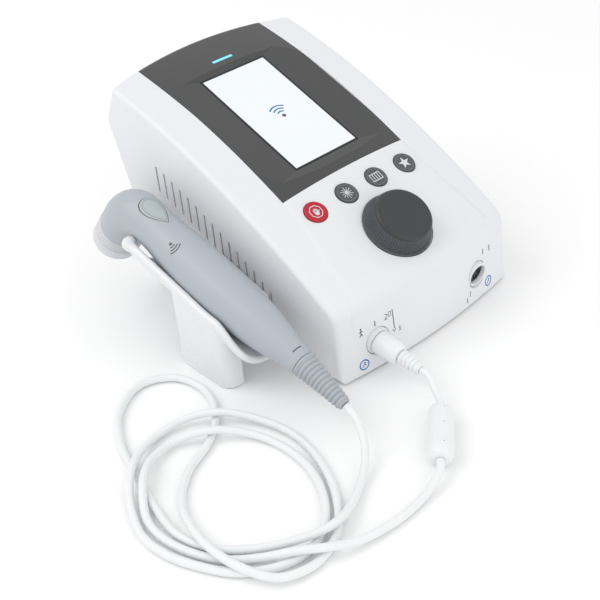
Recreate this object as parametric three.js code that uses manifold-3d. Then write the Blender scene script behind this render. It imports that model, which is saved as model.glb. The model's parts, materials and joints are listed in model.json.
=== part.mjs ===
// Tabletop ultrasound therapy unit: a wedge-shaped console with a sunken display,
// four keys and a control knob, and a hand applicator that lies in a holder on the
// console's left side. A cable with a ferrite bead runs from the applicator to the
// left front socket. Millimetres, +X to the right, +Y to the back, +Z up, z = 0 on the table.
import * as THREE from 'three';
import { mergeVertices } from 'three/addons/utils/BufferGeometryUtils.js';
import Module from 'manifold-3d';

const wasm = await Module();
wasm.setup();

// ---------- driving dimensions ----------
const GAP = 0.3; // between pieces that touch
const HALF_WIDTH = 80;
const WALL = 2.6;
const FLOOR_GAP = 1.5; // height of the housing's lower edge
const FOOTPRINT_CENTRE = [-25.1, 97.53]; // x, y of the middle of everything but the cord
const TOP_FRONT = [10, 54]; // side profile points are [y, z]
const TOP_PULL = [104, 118.5];
const TOP_BACK = [202, 143.1];
const CROWN = 5; // extra height on the centre line
const FRONT_BOW = 6.5;
const BACK_BOW = 9;
const EDGE_RADIUS = 3;

const SCREEN_CENTRE = [130.8, 119]; // y, z of the glass centre
const SCREEN_TILT = 21.9; // degrees
const GLASS = [56.6, 97.6, 1.4];
const BEZEL_HALF_WIDTH = 54;
const BEZEL_FRONT = 71;
const BEZEL_UNDERSIDE = -6; // measured from the glass face
const LIGHT_BAR = [19, 2.2, 4];

const KEY_RADIUS = 7.7;
const KEY_Y = 55.8;
const KEY_X = [-41.1, -13.6, 13.4, 40.6];
const KEY_TILT = 30.5;
const KNOB_PLACE = [-1, 24.4]; // x, y
const KNOB_RADIUS = 23.6;
const KNOB_SINK = 1.6; // depth of the round seat in the housing
const KNOB_TILT = 33;
const KNOB_HEIGHT = 13;

const SOCKET_X = [-50, 45.5];
const SOCKET_Z = 20.5;
const SOCKET_DIP = 8; // degrees that the socket axis points down
const SOCKET_BORE = 7;

const VENT_COUNT = 15;
const VENT_SIZE = [1.7, 19.4]; // width, height
const VENT_TOPS = [[61, 44.6], [112.1, 78.4], [167.6, 98.2]];

const REAR_PIVOT = [198, 45]; // y, z on the sloping back
const REAR_TILT = -16.1;
const REAR_WINDOW = [106, 56];
const ROCKER_PIVOT = [16, -6, -8];
const ROCKER_SWING = 7; // degrees either side of the middle

const CENTRE_X = -108; // the applicator's plane of symmetry
const COLLAR_RADIUS = 16.5;
const COLLAR_LENGTH = 21;
const SHELL_WALL = 2.2;

const TROUGH_RADIUS = 17.9;
const TROUGH_WALL = 4.3;
const TROUGH_TILT = 17;
const TROUGH_AXIS = [70, 54.2]; // y, z of a point on the trough's axis
const FAR_RIM = -9; // height of the far rim above the trough's axis
const LEG_FRONT = 50;
const SCREW_Y = [72, 98];
const SCREW_HEIGHT = 38;
const LEG_BACK = 96.5;

const CORD_RADIUS = 2.4;
const BEAD = [7.7, 43]; // radius, length

// ---------- materials ----------
function finish(color, roughness, metalness = 0) {
  return new THREE.MeshStandardMaterial({ color, roughness, metalness });
}
const whiteHousing = finish(0xe4e5e7, 0.45);
const charcoal = finish(0x4a4b4d, 0.5);
const knobGrey = finish(0x45464a, 0.45);
const keyGrey = finish(0x55595c, 0.4);
const keyRed = finish(0xbe1930, 0.4);
const screenGlass = finish(0xf3f6fa, 0.12);
const displayGrey = finish(0x2b2d30, 0.4);
const cyanLight = finish(0x78d2f0, 0.3);
const boardGreen = finish(0x1e6b42, 0.55);
const bareMetal = finish(0xb9bcc0, 0.35, 0.9);
const darkPlastic = finish(0x26282b, 0.5);
const rubber = finish(0x3a3c3f, 0.85);
const applicatorGrey = finish(0xb9c2ce, 0.4);
const collarGrey = finish(0xc8c8cb, 0.4);
const bootGrey = finish(0xafb7c1, 0.6);
const padGrey = finish(0xa9b3b8, 0.6);
const cordWhite = finish(0xebeced, 0.5);
const ceramic = finish(0xd9cfae, 0.6);

// ---------- small tools ----------
const radians = THREE.MathUtils.degToRad;
const clamp01 = (value) => THREE.MathUtils.clamp(value, 0, 1);

function solid(geometry) {
  let plain = geometry.index ? geometry.clone() : geometry;
  plain.deleteAttribute('normal');
  plain.deleteAttribute('uv');
  plain = mergeVertices(plain, 1e-3);
  const points = plain.attributes.position.array;
  const triangles = new Uint32Array(plain.index.array).slice();
  const corner = (n) => new THREE.Vector3().fromArray(points, 3 * triangles[n]);
  const kept = [];
  let volume = 0;
  for (let n = 0; n < triangles.length; n += 3) {
    const [a, b, c] = [triangles[n], triangles[n + 1], triangles[n + 2]];
    if (a === b || b === c || c === a) continue;
    kept.push(a, b, c);
    volume += corner(n).dot(corner(n + 1).cross(corner(n + 2)));
  }
  if (volume < 0) {
    for (let n = 0; n < kept.length; n += 3) [kept[n], kept[n + 1]] = [kept[n + 1], kept[n]];
  }
  return new wasm.Manifold(
    new wasm.Mesh({ numProp: 3, vertProperties: points, triVerts: new Uint32Array(kept) })
  );
}

function geometryOf(body) {
  const { vertProperties, triVerts } = body.getMesh();
  const geometry = new THREE.BufferGeometry();
  geometry.setAttribute('position', new THREE.BufferAttribute(vertProperties, 3));
  geometry.setIndex(new THREE.BufferAttribute(triVerts, 1));
  geometry.computeVertexNormals();
  return geometry;
}

function joined(...bodies) {
  return bodies.reduce((sum, body) => sum.add(body));
}

// A group at y, z that is tilted back by an angle: its own z is the panel's normal.
function frameAt(x, [y, z], tilt) {
  const frame = new THREE.Group();
  frame.position.set(x, y, z);
  frame.rotation.x = radians(tilt);
  frame.updateMatrixWorld();
  return frame;
}

function placed(geometry, frame) {
  return solid(geometry.clone().applyMatrix4(frame.matrixWorld));
}

function box(size, centre = [0, 0, 0]) {
  return new THREE.BoxGeometry(...size).translate(...centre);
}

function span(low, high) {
  const size = high.map((value, n) => value - low[n]);
  return box(size, high.map((value, n) => (value + low[n]) / 2));
}

// A cylinder along z between two heights.
function peg(radius, low, high, sides = 16) {
  const cylinder = new THREE.CylinderGeometry(radius, radius, high - low, sides);
  return cylinder.rotateX(Math.PI / 2).translate(0, 0, (low + high) / 2);
}

// A turned piece about z from [radius, z] pairs.
function turned(profile, sides = 20) {
  const points = profile.map(([radius, height]) => new THREE.Vector2(radius, height));
  return new THREE.LatheGeometry(points, sides).rotateX(Math.PI / 2);
}

// Draws in y, z and extrudes along x between two x values.
function slab(points, low, high) {
  const shape = new THREE.Shape(points.map(([y, z]) => new THREE.Vector2(y, z)));
  const geometry = new THREE.ExtrudeGeometry(shape, { depth: high - low, bevelEnabled: false });
  return geometry.applyMatrix4(sideways()).translate(low, 0, 0);
}

function sideways() {
  const [x, y, z] = [new THREE.Vector3(1, 0, 0), new THREE.Vector3(0, 1, 0), new THREE.Vector3(0, 0, 1)];
  return new THREE.Matrix4().makeBasis(y, z, x);
}

function arc(from, pull, to, steps) {
  const ends = [from, pull, to].map(([y, z]) => new THREE.Vector2(y, z));
  return new THREE.QuadraticBezierCurve(...ends).getPoints(steps).map((p) => [p.x, p.y]);
}

const root = new THREE.Group();

function add(name, body, material, parent = root) {
  const mesh = new THREE.Mesh(body instanceof THREE.BufferGeometry ? body : geometryOf(body), material);
  mesh.name = name;
  parent.add(mesh);
  return mesh;
}

// ---------- console form ----------
const topCurve = new THREE.QuadraticBezierCurve(
  ...[TOP_FRONT, TOP_PULL, TOP_BACK].map(([y, z]) => new THREE.Vector2(y, z))
);

function topHeight(y) {
  let [low, high] = [0, 1];
  for (let n = 0; n < 30; n += 1) {
    const middle = (low + high) / 2;
    if (topCurve.getPoint(middle).x < y) low = middle;
    else high = middle;
  }
  return topCurve.getPoint(low).y;
}

function surfaceHeight(x, y) {
  const bulge = 1 - (x / HALF_WIDTH) ** 2;
  const unbowed = (y + FRONT_BOW * bulge) / (1 + (FRONT_BOW * bulge) / 60);
  return topHeight(unbowed) + CROWN * bulge;
}

// The inner forms have plain corners where the outer one is rounded.
function sideOutline(rounded) {
  const top = topCurve.getPoints(11).reverse().map((p) => [p.x, p.y]);
  if (!rounded) return [[0.3, FLOOR_GAP], [185.4, FLOOR_GAP], [218.6, 117], [205, 143.7], ...top.slice(1), [3.6, 49.6]];
  return [
    [0.3, FLOOR_GAP],
    [185.4, FLOOR_GAP],
    ...arc([218.1, 115], [218.9, 117.7], [217.6, 120.2], 3),
    ...arc([206.5, 141.2], [205, 144], TOP_BACK, 3),
    ...top.slice(1),
    ...arc(TOP_FRONT, [3.8, 49.8], [3.4, 44], 4).slice(1),
  ];
}

function insetOutline(points, inset) {
  const count = points.length;
  return points.map(([y, z], n) => {
    const before = points[(n + count - 1) % count];
    const after = points[(n + 1) % count];
    const normal = (a, b) => new THREE.Vector2(a[1] - b[1], b[0] - a[0]).normalize();
    const [one, two] = [normal(before, [y, z]), normal([y, z], after)];
    const shift = inset / (1 + one.dot(two));
    return [y + (one.x + two.x) * shift, z + (one.y + two.y) * shift];
  });
}

// Slides an end point along its edge to a new height.
function extendTo(height, end, other) {
  const part = (height - end[1]) / (other[1] - end[1]);
  end[0] += part * (other[0] - end[0]);
  end[1] = height;
}

// Crowns the top and bows the front and the back edge.
function crowned(geometry) {
  const position = geometry.attributes.position;
  for (let n = 0; n < position.count; n += 1) {
    const [x, y, z] = [position.getX(n), position.getY(n), position.getZ(n)];
    const bulge = 1 - (x / HALF_WIDTH) ** 2;
    const front = FRONT_BOW * bulge * clamp01(1 - y / 60);
    const back = BACK_BOW * bulge * clamp01((y - 150) / 55) * clamp01(z / 110);
    position.setY(n, y - front + back);
    position.setZ(n, z + CROWN * bulge * clamp01(z / TOP_FRONT[1]));
  }
  return geometry;
}

function consoleForm(inset, bottom, edge = 0) {
  const outline = insetOutline(sideOutline(inset === 0), inset);
  extendTo(bottom, outline[0], outline[outline.length - 1]);
  extendTo(bottom, outline[1], outline[2]);
  const shape = new THREE.Shape(outline.map(([y, z]) => new THREE.Vector2(y, z)));
  const half = HALF_WIDTH - inset - edge;
  const geometry = new THREE.ExtrudeGeometry(shape, {
    depth: 2 * half,
    steps: 8,
    bevelEnabled: edge > 0,
    bevelThickness: edge,
    bevelSize: edge,
    bevelOffset: -edge,
    bevelSegments: 2,
  });
  return solid(crowned(geometry.applyMatrix4(sideways()).translate(-half, 0, 0)));
}

const screenFrame = frameAt(0, SCREEN_CENTRE, SCREEN_TILT);
const rearFrame = frameAt(0, REAR_PIVOT, REAR_TILT);
// The rear frame's y points out of the back and its z up the slope.

function keyFrame(x) {
  return frameAt(x, [KEY_Y, surfaceHeight(x, KEY_Y)], KEY_TILT);
}

const knobFrame = frameAt(KNOB_PLACE[0], [KNOB_PLACE[1], surfaceHeight(...KNOB_PLACE)], KNOB_TILT);

// Local z points out of the front face.
function socketFrame(x) {
  const face = 1.7 - FRONT_BOW * (1 - (x / HALF_WIDTH) ** 2) * (1 - 1.7 / 60);
  return frameAt(x, [face, SOCKET_Z], 90 + SOCKET_DIP);
}

function bezelZone(clearance) {
  const half = BEZEL_HALF_WIDTH + clearance;
  const plan = solid(span([-half, BEZEL_FRONT - clearance, 60], [half, 240, 200]));
  const depth = BEZEL_UNDERSIDE - clearance;
  return plan.intersect(placed(span([-200, -200, depth], [200, 200, 80]), screenFrame));
}

function vents(side) {
  const tops = arc(...VENT_TOPS, VENT_COUNT - 1);
  const [width, height] = VENT_SIZE;
  return tops.map(([y, top]) =>
    solid(box([12, width, height], [side * HALF_WIDTH, y, top - height / 2]))
  );
}

function bossPosition(side, back) {
  return [side * 70, back ? 160 : 20];
}

function corners() {
  return [[-1, false, 'front_left'], [1, false, 'front_right'], [-1, true, 'rear_left'], [1, true, 'rear_right']];
}

function upperHousing() {
  let body = consoleForm(0, FLOOR_GAP, EDGE_RADIUS).subtract(consoleForm(WALL, -10));
  for (const [side, back] of corners()) {
    const [x, y] = bossPosition(side, back);
    const boss = solid(span([Math.min(x - 6, side * 78.5), y - 6, 16], [Math.max(x + 6, side * 78.5), y + 6, 34]));
    body = body.add(boss).subtract(solid(peg(1.7, 10, 30, 10).translate(x, y, 0)));
  }
  body = body.subtract(bezelZone(GAP));
  for (const x of KEY_X) body = body.subtract(placed(peg(KEY_RADIUS + 0.45, -12, 20, 20), keyFrame(x)));
  body = body.subtract(placed(peg(4.2, -12, 10, 16), knobFrame));
  body = body.subtract(placed(peg(KNOB_RADIUS + 0.8, -KNOB_SINK, 10, 32), knobFrame));
  for (const x of SOCKET_X) body = body.subtract(placed(peg(9 + 1.5 * GAP, -20, 12, 20), socketFrame(x)));
  for (const side of [-1, 1]) {
    for (const slot of vents(side)) body = body.subtract(slot);
  }
  const [wide, high] = REAR_WINDOW;
  body = body.subtract(placed(box([wide, 40, high]), rearFrame));
  for (const y of SCREW_Y) body = body.subtract(solid(peg(1.7, -90, -70, 10).rotateY(Math.PI / 2).translate(0, y, SCREW_HEIGHT)));
  return body;
}

function baseTray() {
  let body = consoleForm(WALL + GAP, FLOOR_GAP).subtract(consoleForm(WALL + GAP + 2, 4));
  body = body.intersect(solid(span([-90, -20, 0], [90, 240, 10.6])));
  for (const [side, back] of corners()) {
    const [x, y] = bossPosition(side, back);
    body = body.add(solid(peg(5.5, 3, 15.6, 16).translate(x, y, 0)));
    body = body.subtract(solid(peg(1.8, 0, 20, 10).translate(x, y, 0)));
    body = body.subtract(solid(peg(3.4, 0, 4, 14).translate(x, y, 0)));
  }
  for (const [x, y] of [[-50, 45], [50, 45], [-50, 140], [50, 140]]) {
    body = body.add(solid(peg(3, 3, 8, 10).translate(x, y, 0)));
  }
  return body;
}

// ---------- display ----------
function frustum(bottom, top, height) {
  const geometry = new THREE.BoxGeometry(1, 1, 1);
  const position = geometry.attributes.position;
  for (let n = 0; n < position.count; n += 1) {
    const up = position.getZ(n) > 0;
    const [halfX, front, back] = up ? top : bottom;
    position.setX(n, Math.sign(position.getX(n)) * halfX);
    position.setY(n, position.getY(n) > 0 ? back : front);
    position.setZ(n, up ? height : 0);
  }
  return geometry;
}

// The bar lies flush in the slope behind the glass.
function lightBar(clearance) {
  const bar = box(LIGHT_BAR.map((size) => size + 2 * clearance));
  return bar.rotateX(Math.atan2(12.4, -5) - Math.PI / 2).translate(0, 59.2, 2);
}

function displayBezel() {
  const [wide, long] = GLASS.map((size) => size / 2 + GAP);
  const recess = frustum([wide, -long, long], [wide + 109, -long - 29.9, long + 19.8], 8);
  let body = consoleForm(0, FLOOR_GAP, EDGE_RADIUS).intersect(bezelZone(0));
  body = body.subtract(placed(recess, screenFrame));
  body = body.subtract(placed(span([-wide, -long, -20], [wide, long, 1]), screenFrame));
  return body.subtract(placed(lightBar(GAP), screenFrame));
}

function addDisplay() {
  const frame = frameAt(0, SCREEN_CENTRE, SCREEN_TILT);
  root.add(frame);
  const [wide, long, thick] = GLASS;
  add('touch_glass', box(GLASS, [0, 0, -thick / 2]), screenGlass, frame);
  add('display_panel', box([wide - 1, long - 1, 3.4], [0, 0, -thick - GAP - 1.7]), displayGrey, frame);
  const board = solid(box([84, 108, 1.6], [0, 0, -7.3]));
  const chips = [[-20, 18, 22], [14, -24, 14], [22, 26, 18]].map(([x, y, size]) =>
    solid(box([size, size, 3], [x, y, -9.4]))
  );
  add('display_board', joined(board, ...chips), boardGreen, frame);
  add('light_bar', lightBar(0), cyanLight, frame);
}

// ---------- keys and knob ----------
function keyCap() {
  const flange = KEY_RADIUS + 1.2;
  return turned([[0, -5], [flange, -5], [flange, -3.6], [KEY_RADIUS, -3.6], [KEY_RADIUS, 0.5], [7.1, 0.9], [0, 0.9]]);
}

function addKeys() {
  const names = ['stop_key', 'light_key', 'list_key', 'star_key'];
  names.forEach((name, n) => {
    const frame = keyFrame(KEY_X[n]);
    root.add(frame);
    add(name, keyCap(), name === 'stop_key' ? keyRed : keyGrey, frame);
  });
  const frame = frameAt(0, [KEY_Y, surfaceHeight(0, KEY_Y)], KEY_TILT);
  root.add(frame);
  const domes = KEY_X.map((x) => {
    const drop = surfaceHeight(0, KEY_Y) - surfaceHeight(x, KEY_Y);
    return solid(peg(2.5, -10, -6.7 - drop, 12).translate(x, 0, 0));
  });
  add('key_board', joined(solid(box([100, 17, 1.6], [0, 0, -10.5])), ...domes), boardGreen, frame);
}

function addKnob() {
  const frame = knobFrame.clone();
  root.add(frame);
  const low = GAP - KNOB_SINK;
  const body = [[KNOB_RADIUS, low], [KNOB_RADIUS, low + 1.3], [22.2, low + 1.4], [19.4, KNOB_HEIGHT - 2.6]];
  const shoulder = [[18.7, KNOB_HEIGHT - 1], [16.9, KNOB_HEIGHT]];
  const bore = [[0, KNOB_HEIGHT], [0, 10.6], [3.3, 10.6], [3.3, low]];
  add('control_knob', turned([[3.3, low], ...body, ...shoulder, ...bore], 28), knobGrey, frame);
  add('encoder_shaft', peg(3, -6.2, 10.3, 14), bareMetal, frame);
  const can = solid(peg(7.4, -9, -4.6, 4).rotateZ(Math.PI / 4)).add(solid(peg(8, -14, -9, 16)));
  add('encoder_body', can.subtract(solid(peg(3.4, -6.5, 5, 14))), bareMetal, frame);
}

// ---------- sockets ----------
function addSocket(name, x) {
  const frame = socketFrame(x);
  root.add(frame);
  const sleeve = [[SOCKET_BORE, -16], [9, -16], [9, 0.6], [8.4, 1], [SOCKET_BORE, 1], [SOCKET_BORE, -16]];
  add(`${name}_sleeve`, turned(sleeve), whiteHousing, frame);
  let insert = solid(peg(SOCKET_BORE - GAP, -15, -6, 20));
  for (let n = 0; n < 6; n += 1) {
    const angle = (n * Math.PI) / 3;
    const pin = peg(0.8, -9, -5, 6).translate(4 * Math.cos(angle), 4 * Math.sin(angle), 0);
    insert = insert.subtract(solid(pin));
  }
  add(`${name}_contacts`, insert, darkPlastic, frame);
}

// ---------- inside the console ----------
function addBoards() {
  const board = solid(box([120, 118, 1.6], [0, 92, 9.1]));
  const blocks = [
    box([34, 28, 24], [-32, 120, 21]),
    box([26, 22, 18], [28, 52, 18]),
    box([18, 18, 3], [0, 88, 11]),
    peg(7, 9, 30, 14).translate(30, 118, 0),
    peg(5, 9, 26, 12).translate(44, 96, 0),
    box([12, 60, 10], [-50, 78, 14]),
  ].map(solid);
  add('generator_board', joined(board, ...blocks), boardGreen);

  const plate = solid(box([6, 70, 3], [64, 100, 10]));
  const fins = [0, 1, 2, 3].map((n) => solid(box([1.4, 70, 22], [61.8 + 1.5 * n, 100, 22])));
  const bridge = solid(box([6, 70, 3], [64, 100, 12.5]));
  add('heat_sink', joined(plate, bridge, ...fins.slice(0, 1), ...fins.slice(3)), bareMetal);

  const supply = solid(box([76, 20, 1.6], [20, 166, 9.1]));
  const parts = [box([24, 16, 20], [2, 166, 19]), peg(6, 9, 24, 14).translate(34, 166, 0), box([14, 14, 12], [50, 166, 15])];
  add('power_board', joined(supply, ...parts.map(solid)), boardGreen);
}

function addRearPanel() {
  const frame = frameAt(0, REAR_PIVOT, REAR_TILT);
  root.add(frame);
  const [wide, high] = REAR_WINDOW;
  const inletHole = solid(box([27.6, 6, 20.2], [-28, -4.6, -8]));
  const switchHole = solid(box([19.6, 6, 13.6], [16, -4.6, -8]));
  const plate = solid(box([wide + 7, 2, high + 7], [0, -4.6, 0])).subtract(inletHole).subtract(switchHole);
  add('rear_panel', plate, whiteHousing, frame);

  const shell = solid(box([31, 1.6, 24], [-28, -2.5, -8])).add(solid(box([27, 20, 19.6], [-28, -12.6, -8])));
  const pins = [[-35, -9], [-28, -4], [-21, -9]].map(([x, z]) => solid(box([2, 10, 4.4], [x, -13.5, z])));
  const inlet = shell.subtract(solid(box([22.6, 17.4, 15.4], [-28, -9.4, -8])));
  add('mains_inlet', joined(inlet, ...pins), darkPlastic, frame);

  const bezel = solid(box([23, 1.6, 17], [16, -2.5, -8])).add(solid(box([19, 14, 13], [16, -9.6, -8])));
  add('switch_frame', bezel.subtract(solid(box([16.4, 12, 10.4], [16, -7.2, -8]))), darkPlastic, frame);
  // The rocker stands in its off position, turned about an axis 6 mm behind the frame's face.
  const rocker = slab([[-3.6, -4.2], [4.6, -4.4], [3.2, 0], [4.6, 4.4], [-3.6, 4.2]], -7.8, 7.8);
  rocker.rotateX(radians(-ROCKER_SWING)).translate(...ROCKER_PIVOT);
  add('power_rocker', rocker, darkPlastic, frame);
}

function addFeetAndScrews() {
  for (const [side, back, place] of corners()) {
    const [x, y] = bossPosition(side, back);
    const foot = add(`${place}_foot`, peg(6.5, 0, 1.2, 20), rubber);
    foot.position.set(x * 0.86, back ? y + 8 : y + 12, 0);
    const profile = [[0, 2], [2.9, 2], [2.9, 3.6], [1.4, 3.6], [1.4, 27], [0, 28.2]];
    const screw = add(`${place}_screw`, turned(profile, 10), bareMetal);
    screw.position.set(x, y, 0);
  }
}

// ---------- applicator ----------
// The centre line in y, z from the boot's tip to the rim of the head.
const centreLine = new THREE.SplineCurve(
  [[-30.8, 21.8], [-14, 28.6], [1.7, 34.4], [20, 39.8], [38.3, 45], [73.5, 55.2], [106.5, 65.8], [130, 74.6],
    [146, 80.2], [158, 79.4], [168.5, 71.6], [178.5, 59.6], [188.5, 48]].map(([y, z]) => new THREE.Vector2(y, z))
);
const centreLength = centreLine.getLength();
const BOOT_LENGTH = 35.4;
const SHELL_END = centreLength - COLLAR_LENGTH - GAP;
// Distance along the centre line, radius.
const handleRadii = [
  [BOOT_LENGTH + GAP, 8.4], [48, 9.9], [60, 12.4], [74, 14.6], [92, 16.1], [112, 16.8], [134, 16.9],
  [152, 15.8], [166, 14.5], [182, 14.4], [196, 15.4], [208, 16], [SHELL_END + 3, 16.2],
];

// Bends a turned form, whose axis is y, along the centre line.
function bent(profile, sides) {
  const points = profile.map(([radius, along]) => new THREE.Vector2(radius, along));
  const geometry = new THREE.LatheGeometry(points, sides);
  const position = geometry.attributes.position;
  for (let n = 0; n < position.count; n += 1) {
    const part = clamp01(position.getY(n) / centreLength);
    const centre = centreLine.getPointAt(part);
    const along = centreLine.getTangentAt(part);
    const across = position.getZ(n);
    position.setXYZ(n, CENTRE_X + position.getX(n), centre.x - along.y * across, centre.y + along.x * across);
  }
  return solid(geometry);
}

function handleForm(inset) {
  const rows = handleRadii.map(([along, radius]) => [radius - inset, along]);
  const [first, last] = [rows[0], rows[rows.length - 1]];
  first[1] += inset ? 2.5 : 0;
  return bent([[0, first[1]], ...rows, [0, last[1] + (inset ? 0.2 : 0)]], 20);
}

function headFrame() {
  const rim = centreLine.getPoint(1);
  const along = centreLine.getTangent(1);
  return frameAt(CENTRE_X, [rim.x, rim.y], THREE.MathUtils.radToDeg(Math.atan2(along.y, along.x)) - 90);
}

// The key sits on top of the neck, its own z along the centre line's normal.
const KEY_STATION = 180;
function thumbFrame() {
  const centre = centreLine.getPointAt(KEY_STATION / centreLength);
  const along = centreLine.getTangentAt(KEY_STATION / centreLength);
  return frameAt(CENTRE_X, [centre.x, centre.y], THREE.MathUtils.radToDeg(Math.atan2(along.y, along.x)));
}

// A teardrop with its point towards the boot, in the frame's x, y.
function teardrop(grow, low, high) {
  const shape = new THREE.Shape();
  shape.moveTo(0, -15.5 - grow);
  shape.quadraticCurveTo(7.4 + grow, -6, 7.2 + grow, 2);
  shape.quadraticCurveTo(6.6 + grow, 9 + grow, 0, 9.4 + grow);
  shape.quadraticCurveTo(-6.6 - grow, 9 + grow, -7.2 - grow, 2);
  shape.quadraticCurveTo(-7.4 - grow, -6, 0, -15.5 - grow);
  const settings = { depth: high - low, bevelEnabled: false, curveSegments: 5 };
  return new THREE.ExtrudeGeometry(shape, settings).translate(0, 0, low);
}

function addApplicator() {
  const key = thumbFrame();
  const head = headFrame();
  const beyond = placed(span([-40, -40, -COLLAR_LENGTH - GAP], [40, 40, 20]), head);
  const keyHole = placed(teardrop(0.4, 4, 30), key);
  const shell = handleForm(0).subtract(handleForm(SHELL_WALL)).subtract(keyHole).subtract(beyond);
  const left = span([CENTRE_X - 40, -60, 0], [CENTRE_X - GAP / 2, 260, 160]);
  const right = span([CENTRE_X + GAP / 2, -60, 0], [CENTRE_X + 40, 260, 160]);
  add('applicator_left_shell', shell.intersect(solid(left)), applicatorGrey);
  add('applicator_right_shell', shell.intersect(solid(right)), applicatorGrey);

  const cap = handleForm(-0.2).intersect(placed(teardrop(0, 11.4, 30), key));
  const skirt = placed(teardrop(1.2, 6.4, 8), key);
  add('thumb_key', cap.add(placed(teardrop(0, 6.4, 12.6), key)).add(skirt), padGrey);
  root.add(key);
  add('thumb_key_board', solid(box([10, 22, 1.4], [0, 0, 2.9])).add(solid(peg(2, 3, 5.1, 10))), boardGreen, key);

  root.add(head);
  const radius = COLLAR_RADIUS;
  const ribs = [0, 1, 2].flatMap((n) => [[radius - 0.7, -20 + 3.4 * n], [radius, -19.2 + 3.4 * n], [radius, -17.6 + 3.4 * n]]);
  const outside = [[13.6, -COLLAR_LENGTH], [radius - 0.7, -COLLAR_LENGTH], ...ribs, [radius, 0], [14.6, 0]];
  const inside = [[14.6, -3.4], [13.6, -3.4], [13.6, -COLLAR_LENGTH]];
  add('head_collar', turned([...outside, ...inside], 24), collarGrey, head);
  add('treatment_face', turned([[0, -3.1], [14.3, -3.1], [14.3, 0.2], [12, 1], [0, 1.2]], 24), bareMetal, head);
  add('piezo_disc', peg(12.4, -5.6, -3.4, 24), ceramic, head);
}

function addBoot() {
  const ribs = [];
  const count = 11;
  for (let n = 0; n < count; n += 1) {
    const along = 1.5 + (n * (BOOT_LENGTH - 4)) / count;
    const radius = 4.3 + (4.1 * along) / BOOT_LENGTH;
    ribs.push([radius - 0.5, along], [radius + 0.3, along + 0.9], [radius + 0.3, along + 1.9]);
  }
  add('cable_boot', bent([[0, 0], [4.1, 0], ...ribs, [8.4, BOOT_LENGTH], [0, BOOT_LENGTH]], 12), bootGrey);
}

// ---------- applicator holder ----------
function addHolder() {
  const frame = frameAt(CENTRE_X, TROUGH_AXIS, TROUGH_TILT);
  const outer = TROUGH_RADIUS + TROUGH_WALL;
  const shape = new THREE.Shape();
  shape.absarc(0, 0, outer, 0, -Math.PI, true);
  shape.absarc(0, 0, TROUGH_RADIUS, -Math.PI, 0, false);
  const settings = { depth: 132, bevelEnabled: false, curveSegments: 12 };
  const section = new THREE.ExtrudeGeometry(shape, settings).rotateX(Math.PI / 2).translate(0, 92, 0);
  let trough = placed(section, frame);

  // The near rim falls away in a wave towards the front lip; the far rim stays lower.
  const rim = [
    [150, 150], [-40, 150], [-40, 0], [14, 2],
    ...arc([22, 24], [30, 26], [37, 30], 4),
    ...arc([46, 36], [50, 51], [66, 51], 5),
  ];
  trough = trough.subtract(solid(slab([...rim, [150, 76.4]], -140, CENTRE_X)));
  const farSide = placed(span([0, -200, FAR_RIM], [60, 200, 60]), frame);
  trough = trough.subtract(farSide);
  const frontCut = [[-40, 160], [-40, -10], [36, -10], ...arc([36, 22], [40, 34], [50, 60], 4), [60, 160]];
  trough = trough.subtract(solid(slab(frontCut, -140, CENTRE_X + 40)));
  const tip = [[170, 160], [142, 160], ...arc([142, 76], [142, 58], [122, 40], 5), [122, -10], [170, -10]];
  trough = trough.subtract(solid(slab(tip, -140, CENTRE_X + 40)));

  const plan = new THREE.Shape();
  const [left, inner] = [-130.2, -126.8];
  plan.moveTo(left, LEG_BACK);
  plan.lineTo(left, LEG_FRONT + 9);
  plan.quadraticCurveTo(left, LEG_FRONT, left + 9, LEG_FRONT);
  plan.lineTo(-117, LEG_FRONT);
  plan.lineTo(-117, LEG_FRONT + 3.4);
  plan.lineTo(inner + 6, LEG_FRONT + 3.4);
  plan.quadraticCurveTo(inner, LEG_FRONT + 3.4, inner, LEG_FRONT + 9.4);
  plan.lineTo(inner, LEG_BACK);
  const wall = new THREE.ExtrudeGeometry(plan, { depth: 60, bevelEnabled: false, curveSegments: 4 });
  const bore = peg(TROUGH_RADIUS + 1.2, -60, 90, 32).rotateX(Math.PI / 2);
  let leg = solid(wall).subtract(placed(bore, frame));
  const slope = [[30, 34], [60, 49], [120, 67], [120, 120], [30, 120]];
  leg = leg.subtract(solid(slab(slope, -140, -90)));
  const pad = solid(span([-98, 62, 33], [-HALF_WIDTH - GAP, 108, 62])).subtract(placed(bore, frame));
  const finger = new THREE.SphereGeometry(5.2, 14, 10).translate(CENTRE_X - 16.9, 143.4, 69.4);
  let holder = joined(trough, leg, pad.subtract(farSide), solid(finger));
  for (const y of SCREW_Y) {
    holder = holder.subtract(solid(peg(1.7, -95, -70, 10).rotateY(Math.PI / 2).translate(0, y, SCREW_HEIGHT)));
    holder = holder.subtract(solid(peg(3.2, -100, -83.1, 14).rotateY(Math.PI / 2).translate(0, y, SCREW_HEIGHT)));
  }
  add('applicator_holder', holder, whiteHousing);
  for (const [n, y] of SCREW_Y.entries()) {
    const profile = [[0, -84.8], [2.8, -84.8], [2.8, -83.4], [1.4, -83.4], [1.4, -74], [0, -73]];
    const screw = add(`holder_screw_${n + 1}`, turned(profile, 10).rotateY(Math.PI / 2), bareMetal);
    screw.position.set(0, y, SCREW_HEIGHT);
  }
}

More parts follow.
